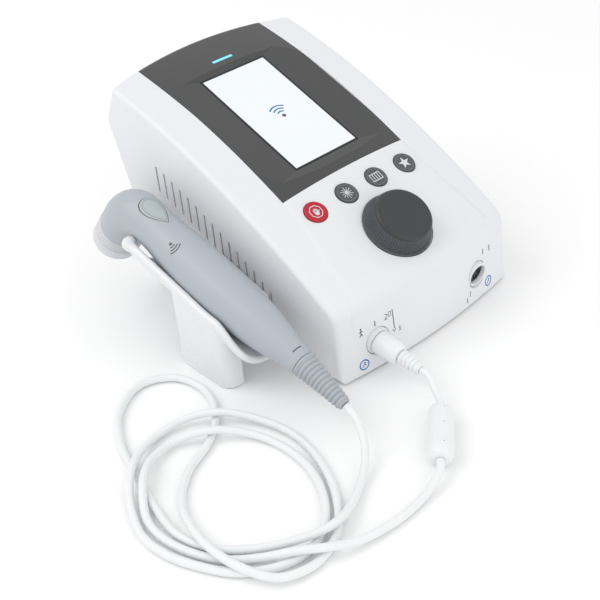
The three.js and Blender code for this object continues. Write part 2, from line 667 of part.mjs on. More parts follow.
// ---------- cord ----------
// From the boot's tip, round the loose loops on the table, to the ferrite bead.
const ROUTE = [
  [-108, -31.3, 21.5], [-108.6, -39.5, 17.6], [-113, -49.5, 12], [-122, -59.5, 6.6], [-134, -67.5, 3.8],
  [-149, -75.5, 4.6], [-165, -81.3, 8], [-180, -78.6, 7.8], [-203, -61.2, 2.9], [-220, -42.5, 2.7],
  [-226.5, -21, 2.7], [-222.5, 3.8, 2.7], [-213.7, 35, 2.7], [-205.5, 60, 2.7], [-189, 84.5, 2.7],
  [-165, 96.3, 2.7], [-146.5, 86.5, 2.7], [-140.5, 65, 2.7], [-148, 41.5, 2.7], [-168, 22.8, 2.7],
  [-193, 11.5, 2.7], [-211, -5.5, 3.3], [-220.3, -27, 7.2], [-223.2, -46, 8.1], [-220.5, -68, 8.1],
  [-210.5, -84, 4.8], [-191, -90, 2.7], [-170.5, -84.5, 2.7], [-152, -67, 2.7], [-137.5, -40, 2.7],
  [-131.5, -10, 2.7], [-140, 18, 5.5], [-153.5, 35, 8.1], [-168, 47, 4.6], [-187, 49.3, 3.1],
  [-204, 42.3, 5.8], [-216.5, 32.5, 8.1], [-229.5, 17, 5], [-239.5, -6, 2.7], [-239.3, -27, 2.7],
  [-231.8, -48, 2.7], [-221.5, -64.8, 2.7], [-206.5, -76.5, 2.7], [-189, -81.3, 2.7], [-170.5, -75.8, 2.7],
  [-154, -58.5, 2.7], [-143.8, -34, 2.7], [-143.5, -6, 2.7], [-153, 13.5, 5.5], [-166.5, 25, 8.1],
  [-183, 36.5, 3.8], [-199.5, 34.5, 5], [-212.5, 25.3, 8.1], [-223.5, 12.5, 7.1], [-231.3, -1, 3.3],
  [-233.4, -17, 2.7], [-229.5, -36, 2.7], [-220.5, -53.5, 2.7], [-207, -67.3, 3.8], [-194.5, -80, 8],
  [-181, -90.5, 8], [-165, -96.5, 4.1], [-140.1, -100.5, 2.7], [-118, -99.6, 3.1], [-106, -97.6, 5.6],
  [-99.2, -94.9, 7.4], [-95.27, -91.63, 7.8],
];
const BEAD_ENDS = [[-95, -91.4, 7.8], [-62.3, -63.4, 7.8]];
const PLUG_STRETCH = [[-62.03, -63.17, 7.8], [-58.8, -60.2, 8.3], [-54, -51.5, 11.3]];

function cordTube(points, steps, sides) {
  const curve = new THREE.CatmullRomCurve3(points.map((point) => new THREE.Vector3(...point)));
  const ring = [...Array(sides).keys()].map((n) => {
    const angle = (2 * Math.PI * n) / sides;
    return new THREE.Vector2(CORD_RADIUS * Math.cos(angle), CORD_RADIUS * Math.sin(angle));
  });
  const settings = { steps, extrudePath: curve, bevelEnabled: false };
  return solid(new THREE.ExtrudeGeometry(new THREE.Shape(ring), settings));
}

function addCord() {
  add('cord_applicator_side', cordTube(ROUTE, 78, 8), cordWhite);

  const [back, front] = BEAD_ENDS.map((point) => new THREE.Vector3(...point));
  const [radius, length] = BEAD;
  const half = length / 2;
  const round = [[3, -half], [5.6, -half + 0.6], [7.2, -half + 2.4], [radius, -half + 5]];
  const mirrored = round.map(([r, z]) => [r, -z]).reverse();
  const bead = turned([[0, -half], ...round, ...mirrored, [0, half]], 20);
  const axis = new THREE.Vector3().subVectors(front, back);
  const mesh = add('ferrite_bead', bead, cordWhite);
  mesh.position.copy(back).add(front).multiplyScalar(0.5);
  mesh.quaternion.setFromUnitVectors(new THREE.Vector3(0, 0, 1), axis.normalize());

  const plugFrame = socketFrame(SOCKET_X[0]);
  root.add(plugFrame);
  const plug = [[0, -5.2], [5.6, -5.2], [6.2, -4.6], [6.2, 1.3], [7.6, 1.3], [7.8, 2.4], [7.2, 15], [6.6, 18], [5, 19.2], [0, 19.2]];
  add('cord_plug', turned(plug, 20), cordWhite, plugFrame);
  const ribs = [0, 1, 2, 3, 4].flatMap((n) => {
    const [low, wide] = [20.4 + 2.9 * n, 5 - 0.22 * n];
    return [[wide - 0.7, low], [wide, low + 0.5], [wide, low + 1.9], [wide - 0.7, low + 2.3]];
  });
  const relief = turned([[0, 19.5], [4.2, 19.5], ...ribs, [3.3, 35.6], [0, 35.6]], 12);
  add('plug_relief', relief, cordWhite, plugFrame);
  plugFrame.updateMatrixWorld();
  const tip = new THREE.Vector3(0, 0, 35.9).applyMatrix4(plugFrame.matrixWorld);
  const lead = new THREE.Vector3(0, 0, 41).applyMatrix4(plugFrame.matrixWorld);
  add('cord_plug_side', cordTube([...PLUG_STRETCH, lead.toArray(), tip.toArray()], 8, 8), cordWhite);
}

// ---------- assembly ----------
add('upper_housing', upperHousing(), whiteHousing);
add('base_tray', baseTray(), whiteHousing);
add('display_bezel', displayBezel(), charcoal);
addDisplay();
addKeys();
addKnob();
addSocket('left_socket', SOCKET_X[0]);
addSocket('right_socket', SOCKET_X[1]);
addBoards();
addRearPanel();
addFeetAndScrews();
addApplicator();
addBoot();
addHolder();
addCord();
for (const child of root.children) {
  child.position.x -= FOOTPRINT_CENTRE[0];
  child.position.y -= FOOTPRINT_CENTRE[1];
}

export default root;
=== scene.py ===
import json
import math

import bmesh
import bpy
import numpy as np
from mathutils import Matrix, Vector
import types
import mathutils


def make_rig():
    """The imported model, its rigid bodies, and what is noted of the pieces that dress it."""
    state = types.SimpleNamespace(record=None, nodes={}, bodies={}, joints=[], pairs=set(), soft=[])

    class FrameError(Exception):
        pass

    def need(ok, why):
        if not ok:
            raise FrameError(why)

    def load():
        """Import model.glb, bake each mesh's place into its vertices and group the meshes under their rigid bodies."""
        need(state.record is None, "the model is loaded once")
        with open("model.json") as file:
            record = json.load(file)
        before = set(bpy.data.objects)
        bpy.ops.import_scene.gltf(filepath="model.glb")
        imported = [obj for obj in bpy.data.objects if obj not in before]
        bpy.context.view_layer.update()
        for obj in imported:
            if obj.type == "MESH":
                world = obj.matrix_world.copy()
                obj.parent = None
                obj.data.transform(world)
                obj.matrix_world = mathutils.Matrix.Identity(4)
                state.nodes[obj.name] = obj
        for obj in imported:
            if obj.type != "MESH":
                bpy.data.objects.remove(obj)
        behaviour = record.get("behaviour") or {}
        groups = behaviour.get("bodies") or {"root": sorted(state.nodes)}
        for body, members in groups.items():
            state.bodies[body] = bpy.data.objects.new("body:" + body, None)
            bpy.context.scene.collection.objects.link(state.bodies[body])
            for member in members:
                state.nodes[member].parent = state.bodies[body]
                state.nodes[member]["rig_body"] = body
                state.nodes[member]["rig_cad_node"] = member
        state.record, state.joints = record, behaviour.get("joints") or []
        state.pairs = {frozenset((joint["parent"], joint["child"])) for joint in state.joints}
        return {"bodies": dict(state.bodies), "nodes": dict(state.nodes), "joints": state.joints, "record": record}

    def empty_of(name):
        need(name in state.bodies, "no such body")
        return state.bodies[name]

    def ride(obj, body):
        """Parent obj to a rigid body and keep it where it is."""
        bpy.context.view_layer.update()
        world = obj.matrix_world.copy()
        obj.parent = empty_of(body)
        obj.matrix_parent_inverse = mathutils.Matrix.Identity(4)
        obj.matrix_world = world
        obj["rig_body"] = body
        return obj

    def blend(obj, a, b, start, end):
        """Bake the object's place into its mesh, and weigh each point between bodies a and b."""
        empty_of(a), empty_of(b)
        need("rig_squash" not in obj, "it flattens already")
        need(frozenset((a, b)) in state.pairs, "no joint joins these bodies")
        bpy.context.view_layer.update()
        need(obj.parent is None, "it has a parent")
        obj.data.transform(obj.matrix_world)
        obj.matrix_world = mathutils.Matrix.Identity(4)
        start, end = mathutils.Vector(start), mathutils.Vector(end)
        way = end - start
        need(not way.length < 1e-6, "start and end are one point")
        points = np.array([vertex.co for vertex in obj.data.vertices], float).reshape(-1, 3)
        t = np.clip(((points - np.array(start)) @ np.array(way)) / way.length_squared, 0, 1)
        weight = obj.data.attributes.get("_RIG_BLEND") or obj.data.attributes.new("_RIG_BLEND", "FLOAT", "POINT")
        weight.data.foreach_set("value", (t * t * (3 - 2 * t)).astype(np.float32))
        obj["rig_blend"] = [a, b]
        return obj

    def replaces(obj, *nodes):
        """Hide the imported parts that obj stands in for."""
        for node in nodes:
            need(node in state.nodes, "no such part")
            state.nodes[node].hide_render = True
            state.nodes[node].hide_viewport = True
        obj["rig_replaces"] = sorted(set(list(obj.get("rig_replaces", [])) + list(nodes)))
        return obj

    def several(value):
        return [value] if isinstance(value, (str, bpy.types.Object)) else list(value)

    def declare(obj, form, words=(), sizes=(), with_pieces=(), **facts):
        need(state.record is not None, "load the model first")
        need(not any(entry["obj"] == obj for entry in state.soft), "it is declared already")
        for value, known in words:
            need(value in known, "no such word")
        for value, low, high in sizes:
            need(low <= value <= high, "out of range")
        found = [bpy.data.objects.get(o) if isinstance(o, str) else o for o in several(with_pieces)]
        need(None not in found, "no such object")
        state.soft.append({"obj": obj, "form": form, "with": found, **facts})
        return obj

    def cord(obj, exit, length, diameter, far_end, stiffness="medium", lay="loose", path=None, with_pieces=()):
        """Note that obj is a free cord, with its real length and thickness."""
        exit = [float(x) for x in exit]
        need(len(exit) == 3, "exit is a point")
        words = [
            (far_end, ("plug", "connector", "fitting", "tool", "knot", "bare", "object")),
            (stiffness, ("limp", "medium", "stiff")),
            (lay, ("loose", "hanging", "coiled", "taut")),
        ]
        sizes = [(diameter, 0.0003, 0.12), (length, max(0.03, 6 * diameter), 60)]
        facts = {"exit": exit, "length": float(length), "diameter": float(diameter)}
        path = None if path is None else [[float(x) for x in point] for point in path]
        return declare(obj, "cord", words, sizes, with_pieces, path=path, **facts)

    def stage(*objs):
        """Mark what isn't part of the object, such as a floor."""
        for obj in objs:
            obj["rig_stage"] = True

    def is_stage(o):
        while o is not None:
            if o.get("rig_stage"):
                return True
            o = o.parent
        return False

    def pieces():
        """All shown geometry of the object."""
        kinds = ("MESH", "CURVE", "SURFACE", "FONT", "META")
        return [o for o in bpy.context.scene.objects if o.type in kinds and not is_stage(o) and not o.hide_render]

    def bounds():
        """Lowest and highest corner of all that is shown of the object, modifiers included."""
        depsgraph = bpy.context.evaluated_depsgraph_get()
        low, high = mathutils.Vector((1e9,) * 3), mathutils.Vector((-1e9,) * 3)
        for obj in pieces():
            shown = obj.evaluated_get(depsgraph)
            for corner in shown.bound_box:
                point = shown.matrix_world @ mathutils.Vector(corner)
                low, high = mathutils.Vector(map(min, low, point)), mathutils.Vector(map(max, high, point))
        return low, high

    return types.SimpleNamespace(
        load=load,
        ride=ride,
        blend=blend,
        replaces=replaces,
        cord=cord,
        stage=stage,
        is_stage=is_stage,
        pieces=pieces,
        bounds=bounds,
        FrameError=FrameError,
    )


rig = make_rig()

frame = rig.load()
CAD_BOX = [list(corner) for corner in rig.bounds()]
NODES = frame["nodes"]

# ---------- frames: the console's millimetres, and the row frame in metres ----------
MM = 0.001
ORIGIN = Vector((-25.1, 97.53, 0.0))  # the row origin in console millimetres
CONSOLE = Matrix.Translation(-ORIGIN * MM) @ Matrix.Scale(MM, 4)  # console millimetres to row metres
# Lays a flat outline in the y, z plane and its depth along x.
SIDEWAYS = Matrix(((0, 0, 1, 0), (1, 0, 0, 0), (0, 1, 0, 0), (0, 0, 0, 1)))
HALF_WIDTH = 80.0
TOP = [(10.0, 54.0), (104.0, 118.5), (202.0, 143.1)]  # y, z of the curve over the top
CROWN, CROWN_RISE = 5.0, 54  # how far the middle stands up, and the height where it does so in full
FRONT_BOW, FRONT_REACH = 6.5, 60  # how far the front bows out, and the y where that has faded
BACK_BOW, BACK_START, BACK_REACH, BACK_RISE = 9.0, 150, 55, 110  # the same at the back, and its height


def placed(x, y, z, tilt=0.0):
    """Matrix of a frame at a console point, turned about x, all in millimetres."""
    return Matrix.Translation((x, y, z)) @ Matrix.Rotation(math.radians(tilt), 4, "X")


def clamp(value):
    return min(1.0, max(0.0, value))


def bulge(x):
    """The share of the crown and the bows at a place across the console, 1 in its middle."""
    return 1 - (x / HALF_WIDTH) ** 2


def bezier(points, count):
    """Points of the quadratic curve of three control points."""
    a, b, c = (np.array(p, float) for p in points)
    t = np.linspace(0, 1, count)[:, None]
    return (1 - t) ** 2 * a + 2 * t * (1 - t) * b + t ** 2 * c


def arc_points(*curve, count=9):
    return [tuple(p) for p in bezier(curve, count)]


TOP_TABLE = bezier(TOP, 400)


def surface_height(x, y):
    """Height of the top at a place over the front half of the console."""
    bow = FRONT_BOW * bulge(x)
    unbowed = (y + bow) / (1 + bow / FRONT_REACH)
    return float(np.interp(unbowed, TOP_TABLE[:, 0], TOP_TABLE[:, 1])) + CROWN * bulge(x)


def polar(radius, angle):
    return radius * math.cos(angle), radius * math.sin(angle)


def linked(name, data):
    """A new object in the scene."""
    obj = bpy.data.objects.new(name, data)
    bpy.context.scene.collection.objects.link(obj)
    return obj


# ---------- camera ----------
def make_camera():
    """A camera at the photograph's angle, placed in console millimetres."""
    camera = linked("camera", bpy.data.cameras.new("camera"))
    camera.data.lens = 64.06
    camera.data.sensor_width = 36
    camera.data.clip_start = 0.05
    camera.data.clip_end = 30
    right = Vector((0.72570, -0.68320, -0.08122))
    down = Vector((-0.44161, -0.37201, -0.81645))
    forward = Vector((0.52758, 0.62836, -0.57168))
    turn = Matrix((right, -down, -forward)).transposed().to_4x4()
    spot = (Vector((-423.2, -375.7, 423.1)) - ORIGIN) * MM
    camera.matrix_world = Matrix.Translation(spot) @ turn
    bpy.context.scene.camera = camera


make_camera()

# ---------- materials ----------
GLOSS_SPREAD = 0.08  # the grain moves the roughness this far either way


def fill(node, values):
    for socket, value in values.items():
        node.inputs[socket].default_value = value


def surface(name, color, rough, grain, bump, mottle, metal=0.0, coat=0.0, glow=None, sss=0.0, blotch=28):
    """A moulded or machined surface: fine grain in bump and gloss, slow drift in colour.

    grain and blotch are noise scales, mottle is the share the colour drifts by, and glow is a colour
    and its strength.
    """
    material = bpy.data.materials.new(name)
    material.use_nodes = True
    nodes, links = material.node_tree.nodes, material.node_tree.links
    shader = nodes["Principled BSDF"]
    fill(shader, {"Metallic": metal, "Coat Weight": coat, "Coat Roughness": 0.15,
                  "Subsurface Weight": sss, "Subsurface Scale": 0.002})
    place = nodes.new("ShaderNodeTexCoord")

    def noise(scale, detail):
        node = nodes.new("ShaderNodeTexNoise")
        fill(node, {"Scale": scale, "Detail": detail, "Roughness": 0.55})
        links.new(place.outputs["Object"], node.inputs["Vector"])
        return node

    slow = noise(blotch, 3.0)
    fine = noise(grain, 4.0)
    tint = nodes.new("ShaderNodeMix")
    tint.data_type = "RGBA"
    # Its two colour sockets are 6 and 7.
    fill(tint, {6: (*[c * (1 - mottle) for c in color], 1),
                7: (*[min(1, c * (1 + mottle)) for c in color], 1)})
    links.new(slow.outputs["Fac"], tint.inputs["Factor"])
    links.new(tint.outputs[2], shader.inputs["Base Color"])
    gloss = nodes.new("ShaderNodeMapRange")
    fill(gloss, {"To Min": max(0.02, rough - GLOSS_SPREAD), "To Max": min(1, rough + GLOSS_SPREAD)})
    links.new(fine.outputs["Fac"], gloss.inputs["Value"])
    links.new(gloss.outputs["Result"], shader.inputs["Roughness"])
    bumps = nodes.new("ShaderNodeBump")
    fill(bumps, {"Strength": bump, "Distance": 0.0004})
    links.new(fine.outputs["Fac"], bumps.inputs["Height"])
    links.new(bumps.outputs["Normal"], shader.inputs["Normal"])
    if glow:
        fill(shader, {"Emission Color": (*glow[:3], 1), "Emission Strength": glow[3]})
    return material


WHITE = surface("white_plastic", (0.745, 0.755, 0.775), 0.42, 2600, 0.05, 0.012, sss=0.04)
HOLDER_WHITE = surface("holder_plastic", (0.76, 0.77, 0.79), 0.28, 2600, 0.03, 0.012, coat=0.3)
CHARCOAL = surface("charcoal_plastic", (0.052, 0.0525, 0.054), 0.36, 3000, 0.12, 0.06)
# Painted highlight: a lighter copy of the bezel charcoal for the bevel faces, standing in for the light that the
# recess edges catch.
CHARCOAL_PAINTED_HIGHLIGHT = surface("charcoal_painted_highlight", (0.13, 0.131, 0.134), 0.36, 3000, 0.12, 0.06)
# Painted sheen: a lighter, bluish copy of the knob plastic for its ribbed side, standing in for the light and
# reflection it catches.
KNOB_PAINTED_SHEEN = surface("knob_painted_sheen", (0.062, 0.068, 0.078), 0.4, 3200, 0.14, 0.06)
# Painted highlight: a lighter copy of the knob plastic for the flange, standing in for the light along its edge.
KNOB_RIM_PAINTED_HIGHLIGHT = surface("knob_rim_painted_highlight", (0.085, 0.087, 0.092), 0.38, 3200, 0.1, 0.05)
# Painted highlight: a mid-grey ring round the keys' edge, standing in for the light their bevel catches.
KEY_PAINTED_HIGHLIGHT = surface("key_ring", (0.2, 0.21, 0.22), 0.45, 3000, 0.05, 0.05)
KNOB = surface("knob_plastic", (0.034, 0.035, 0.038), 0.44, 3200, 0.12, 0.05)
KEY = surface("key_plastic", (0.075, 0.083, 0.088), 0.42, 3000, 0.06, 0.05)
KEY_RED = surface("key_red_plastic", (0.47, 0.006, 0.024), 0.4, 3000, 0.06, 0.05)
PRINT_WHITE = surface("print_white", (0.66, 0.68, 0.70), 0.5, 3000, 0.03, 0.03)
PRINT_GREY = surface("print_grey", (0.085, 0.087, 0.095), 0.5, 3000, 0.03, 0.03)
PRINT_BLUE = surface("print_blue", (0.03, 0.17, 0.44), 0.45, 3000, 0.03, 0.03)
BLACK = surface("black_plastic", (0.012, 0.012, 0.014), 0.4, 3000, 0.05, 0.05)
SCREEN = surface("lit_screen", (0.56, 0.585, 0.6), 0.1, 200, 0.0, 0.01, glow=(0.93, 0.965, 1.0, 0.3),
                 blotch=9)
GLASS_EDGE = surface("glass_border", (0.008, 0.008, 0.01), 0.3, 900, 0.0, 0.1)
CYAN = surface("light_guide", (0.16, 0.55, 0.75), 0.25, 900, 0.02, 0.05, glow=(0.16, 0.6, 0.86, 0.55))
APPLICATOR = surface("applicator_plastic", (0.405, 0.44, 0.48), 0.4, 2600, 0.05, 0.02, sss=0.03)
COLLAR = surface("collar_plastic", (0.62, 0.63, 0.655), 0.34, 2600, 0.05, 0.02)
BOOT = surface("boot_rubber", (0.40, 0.43, 0.465), 0.55, 2400, 0.12, 0.03)
PAD = surface("pad_rubber", (0.41, 0.465, 0.48), 0.55, 2400, 0.12, 0.03)
PAD_RING = surface("pad_ring", (0.25, 0.29, 0.3), 0.5, 2400, 0.1, 0.03)
CORD = surface("cord_sleeve", (0.80, 0.815, 0.82), 0.42, 1800, 0.08, 0.015, sss=0.05)
METAL = surface("machined_metal", (0.6, 0.61, 0.63), 0.28, 1500, 0.06, 0.05, metal=1.0)
STEEL = surface("zinc_steel", (0.5, 0.5, 0.5), 0.35, 1800, 0.1, 0.08, metal=1.0)
BOARD = surface("solder_mask", (0.02, 0.15, 0.055), 0.4, 900, 0.1, 0.12)
RUBBER = surface("foot_rubber", (0.04, 0.042, 0.046), 0.8, 2200, 0.2, 0.08)
CERAMIC = surface("fired_ceramic", (0.68, 0.6, 0.4), 0.6, 2000, 0.15, 0.06)

# ---------- mesh helpers ----------
def piece(name, verts, faces, material, body, replaces=(), sharp=35):
    """A piece out of verts in metres; edges sharper than an angle in degrees stay sharp."""
    mesh = bpy.data.meshes.new(name)
    mesh.from_pydata([tuple(v) for v in verts], [], [tuple(f) for f in faces])
    return finish_mesh(mesh, name, material, body, replaces, sharp)


def face_outward(mesh, merge=0.0):
    """Turns the faces outward, after joining verts closer than merge."""
    work = bmesh.new()
    work.from_mesh(mesh)
    if merge:
        bmesh.ops.remove_doubles(work, verts=work.verts, dist=merge)
    bmesh.ops.recalc_face_normals(work, faces=work.faces)
    work.to_mesh(mesh)
    work.free()


def finish_mesh(mesh, name, material, body, replaces=(), sharp=35):
    """Cleans a mesh in metres and makes it a piece that rides on a body and stands for CAD nodes."""
    face_outward(mesh, 2e-6)
    for one in material if isinstance(material, (list, tuple)) else [material]:
        mesh.materials.append(one)
    obj = linked(name, mesh)
    for polygon in mesh.polygons:
        polygon.use_smooth = True
    mesh.set_sharp_from_angle(angle=math.radians(sharp))
    if body:
        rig.ride(obj, body)
    if replaces:
        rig.replaces(obj, *replaces)
    return obj


def rounded(points, radius, count=4, closed=False):
    """A polyline with its corners rounded; radius is one number or one for each point."""
    points = [np.array(p, float) for p in points]
    radii = radius if isinstance(radius, (list, tuple)) else [radius] * len(points)
    result = []
    for n, here in enumerate(points):
        if not closed and n in (0, len(points) - 1) or radii[n] <= 0:
            result.append(here)
            continue
        before, after = points[n - 1], points[(n + 1) % len(points)]
        one, two = before - here, after - here
        long_one, long_two = np.linalg.norm(one), np.linalg.norm(two)
        reach = min(radii[n], 0.49 * long_one, 0.49 * long_two)
        ends = here + one / long_one * reach, here + two / long_two * reach
        result.extend(bezier([ends[0], here, ends[1]], count + 1))
    return result


def lathe_mesh(profile, matrix, sides=64, bend=None):
    """Verts and faces of a profile of (radius, z) turned about z; bend maps a local point."""
    verts, rings = [], []
    for radius, height in profile:
        if radius < 1e-6:
            rings.append([len(verts)])
            verts.append(Vector((0, 0, height)))
            continue
        rings.append(list(range(len(verts), len(verts) + sides)))
        verts += [Vector((*polar(radius, 2 * math.pi * n / sides), height)) for n in range(sides)]
    faces = []
    for low, high in zip(rings, rings[1:]):
        for n in range(sides):
            m = (n + 1) % sides
            if len(low) == 1 and len(high) > 1:
                faces.append((low[0], high[m], high[n]))
            elif len(high) == 1 and len(low) > 1:
                faces.append((low[n], low[m], high[0]))
            elif len(low) > 1:
                faces.append((low[n], low[m], high[m], high[n]))
    if bend:
        verts = [bend(v) for v in verts]
    return [matrix @ v for v in verts], faces


def lathe(name, profile, matrix, material, body, replaces=(), sides=64, bend=None, sharp=35):
    verts, faces = lathe_mesh(profile, matrix, sides, bend)
    return piece(name, verts, faces, material, body, replaces, sharp)


def prism(outline, low, high, matrix):
    """Verts and faces of a flat outline of (x, y) pushed from low to high along z."""
    count = len(outline)
    verts = [matrix @ Vector((x, y, z)) for z in (low, high) for x, y in outline]
    faces = [tuple(range(count - 1, -1, -1)), tuple(range(count, 2 * count))]
    faces += [(n, (n + 1) % count, count + (n + 1) % count, count + n) for n in range(count)]
    return verts, faces


def solid(form):
    """An object for carve(), out of verts and faces or out of a mesh."""
    if isinstance(form, bpy.types.Mesh):
        return linked("solid", form)
    mesh = bpy.data.meshes.new("solid")
    mesh.from_pydata([tuple(v) for v in form[0]], [], form[1])
    face_outward(mesh)
    return linked("solid", mesh)


def merged(parts):
    """One set of verts and faces out of several."""
    verts, faces = [], []
    for some_verts, some_faces in parts:
        start = len(verts)
        verts.extend(some_verts)
        faces.extend(tuple(start + n for n in face) for face in some_faces)
    return verts, faces


def applied(obj, *tools):
    """The mesh of an object with its modifiers applied; the object and its tools are removed."""
    graph = bpy.context.evaluated_depsgraph_get()
    mesh = bpy.data.meshes.new_from_object(obj.evaluated_get(graph))
    for one in (obj, *tools):
        bpy.data.objects.remove(one)
    return mesh


CUT, KEEP, JOIN = "DIFFERENCE", "INTERSECT", "UNION"


def carve(form, *steps):
    """The mesh of a form after boolean steps of (operation, form)."""
    base, tools = solid(form), [solid(tool) for _, tool in steps]
    for (operation, _), tool in zip(steps, tools):
        modifier = base.modifiers.new("cut", "BOOLEAN")
        modifier.operation = operation
        modifier.object = tool
        modifier.solver = "EXACT"
    return applied(base, *tools)


def sweep(path, radius, sides=20):
    """Verts and faces of a round tube along a dense path; its ring is carried without twist."""
    path = [Vector(p) for p in path]
    verts, faces = [], []
    tangent = (path[1] - path[0]).normalized()
    side = tangent.cross(Vector((0, 0, 1))).normalized()
    for n, point in enumerate(path):
        new = (path[min(n + 1, len(path) - 1)] - path[max(n - 1, 0)]).normalized()
        side = (tangent.rotation_difference(new) @ side).normalized()
        tangent = new
        other = tangent.cross(side)
        for m in range(sides):
            angle = 2 * math.pi * m / sides
            verts.append(point + radius * (math.cos(angle) * side + math.sin(angle) * other))
    for n in range(len(path) - 1):
        for m in range(sides):
            here, there = n * sides, n * sides + sides
            faces.append((here + m, here + (m + 1) % sides, there + (m + 1) % sides, there + m))
    faces.append(tuple(range(sides - 1, -1, -1)))
    faces.append(tuple(range(len(verts) - sides, len(verts))))
    return verts, faces


def cord_piece(name, points, replaced):
    """A round cord along points in console millimetres, and its centreline in metres."""
    path = [CONSOLE @ Vector(p) for p in spline_through(points, 6)]
    verts, faces = sweep(path, CORD_RADIUS * MM)
    obj = piece(name, verts, faces, CORD, None, sharp=60)
    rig.replaces(obj, replaced)
    return obj, [tuple(p) for p in path]


def spline_through(points, count):
    """Centripetal Catmull-Rom points, the curve that the CAD cord follows."""
    points = [np.array(p, float) for p in points]
    points = [2 * points[0] - points[1]] + points + [2 * points[-1] - points[-2]]
    result = []
    for p0, p1, p2, p3 in zip(points, points[1:], points[2:], points[3:]):
        knots = [0.0]
        for a, b in ((p0, p1), (p1, p2), (p2, p3)):
            knots.append(knots[-1] + math.sqrt(np.linalg.norm(b - a)))
        t0, t1, t2, t3 = knots
        for t in np.linspace(t1, t2, count, endpoint=False):
            mix = lambda low, high, a, b: (high - t) / (high - low) * a + (t - low) / (high - low) * b
            a1, a2, a3 = mix(t0, t1, p0, p1), mix(t1, t2, p1, p2), mix(t2, t3, p2, p3)
            result.append(mix(t1, t2, mix(t0, t2, a1, a2), mix(t1, t3, a2, a3)))
    result.append(points[-2])
    return result


def length_of(points):
    return sum(math.dist(a, b) for a, b in zip(points, points[1:]))


def bevelled(obj, width, angle):
    """Softens the edges sharper than an angle in degrees, by a width in millimetres."""
    bevel = obj.modifiers.new("edges", "BEVEL")
    bevel.width = width * MM
    bevel.segments = 2
    bevel.limit_method = "ANGLE"
    bevel.angle_limit = math.radians(angle)
    return bevel


# ---------- cord ----------
CORD_RADIUS = 2.4
# The route is the one in part.mjs, in console millimetres.
ROUTE = [
    (-108, -31.3, 21.5), (-108.6, -39.5, 17.6), (-113, -49.5, 12), (-122, -59.5, 6.6),
    (-134, -67.5, 3.8), (-149, -75.5, 4.6), (-165, -81.3, 8), (-180, -78.6, 7.8),
    (-203, -61.2, 2.9), (-220, -42.5, 2.7), (-226.5, -21, 2.7), (-222.5, 3.8, 2.7),
    (-213.7, 35, 2.7), (-205.5, 60, 2.7), (-189, 84.5, 2.7), (-165, 96.3, 2.7), (-146.5, 86.5, 2.7),
    (-140.5, 65, 2.7), (-148, 41.5, 2.7), (-168, 22.8, 2.7), (-193, 11.5, 2.7), (-211, -5.5, 3.3),
    (-220.3, -27, 7.2), (-223.2, -46, 8.1), (-220.5, -68, 8.1), (-210.5, -84, 4.8),
    (-191, -90, 2.7), (-170.5, -84.5, 2.7), (-152, -67, 2.7), (-137.5, -40, 2.7),
    (-131.5, -10, 2.7), (-140, 18, 5.5), (-153.5, 35, 8.1), (-168, 47, 4.6), (-187, 49.3, 3.1),
    (-204, 42.3, 5.8), (-216.5, 32.5, 8.1), (-229.5, 17, 5), (-239.5, -6, 2.7), (-239.3, -27, 2.7),
    (-231.8, -48, 2.7), (-221.5, -64.8, 2.7), (-206.5, -76.5, 2.7), (-189, -81.3, 2.7),
    (-170.5, -75.8, 2.7), (-154, -58.5, 2.7), (-143.8, -34, 2.7), (-143.5, -6, 2.7),
    (-153, 13.5, 5.5), (-166.5, 25, 8.1), (-183, 36.5, 3.8), (-199.5, 34.5, 5), (-212.5, 25.3, 8.1),
    (-223.5, 12.5, 7.1), (-231.3, -1, 3.3), (-233.4, -17, 2.7), (-229.5, -36, 2.7),
    (-220.5, -53.5, 2.7), (-207, -67.3, 3.8), (-194.5, -80, 8), (-181, -90.5, 8),
    (-165, -96.5, 4.1), (-140.1, -100.5, 2.7), (-118, -99.6, 3.1), (-106, -97.6, 5.6),
    (-99.2, -94.9, 7.4), (-95.27, -91.63, 7.8),
]
BEAD_ENDS = [Vector((-95, -91.4, 7.8)), Vector((-62.3, -63.4, 7.8))]
SOCKETS = {"left": -50.0, "right": 45.5}
SOCKET_Z, SOCKET_FACE = 20.5, 1.7  # a socket's height, and the y of the front there before it bows


def socket_frame(x):
    face = SOCKET_FACE - FRONT_BOW * bulge(x) * (1 - SOCKET_FACE / FRONT_REACH)
    return placed(x, face, SOCKET_Z, 98)


PLUG_FRAME = socket_frame(SOCKETS["left"])
PLUG_ROUTE = [
    (-62.03, -63.17, 7.8), (-58.8, -60.2, 8.3), (-54, -51.5, 11.3),
    tuple(PLUG_FRAME @ Vector((0, 0, 41))), tuple(PLUG_FRAME @ Vector((0, 0, 35.9))),
]


def make_plug():
    """The plug's body, and the ribbed relief behind it."""
    body = [(0, -5.2), (5.4, -5.2), (6.2, -4.4), (6.2, 1.3), (7.6, 1.3), (7.8, 2.4), (7.45, 13),
            (7.1, 16.6), (5.6, 18.9), (4.7, 19.2), (0, 19.2)]
    profile = rounded(body, [0, .5, .4, 0, .3, .6, 3, 3, 1.5, .4, 0])
    plug = lathe("plug_body", profile, CONSOLE @ PLUG_FRAME, CORD, "console", ["cord_plug"])
    profile = [(0, 19.5), (3.9, 19.5)]
    for n in range(5):
        low, wide = 20.2 + 2.95 * n, 5 - 0.22 * n
        profile += [(wide - 0.75, low), (wide - 0.1, low + 0.35), (wide, low + 0.8), (wide, low + 1.7),
                    (wide - 0.1, low + 2.15), (wide - 0.75, low + 2.5)]
    profile += [(3.6, 35.2), (3.2, 35.6), (0, 35.6)]
    relief = lathe("plug_strain_relief", profile, CONSOLE @ PLUG_FRAME, CORD, "console",
                   ["plug_relief"], 40)
    return plug, relief


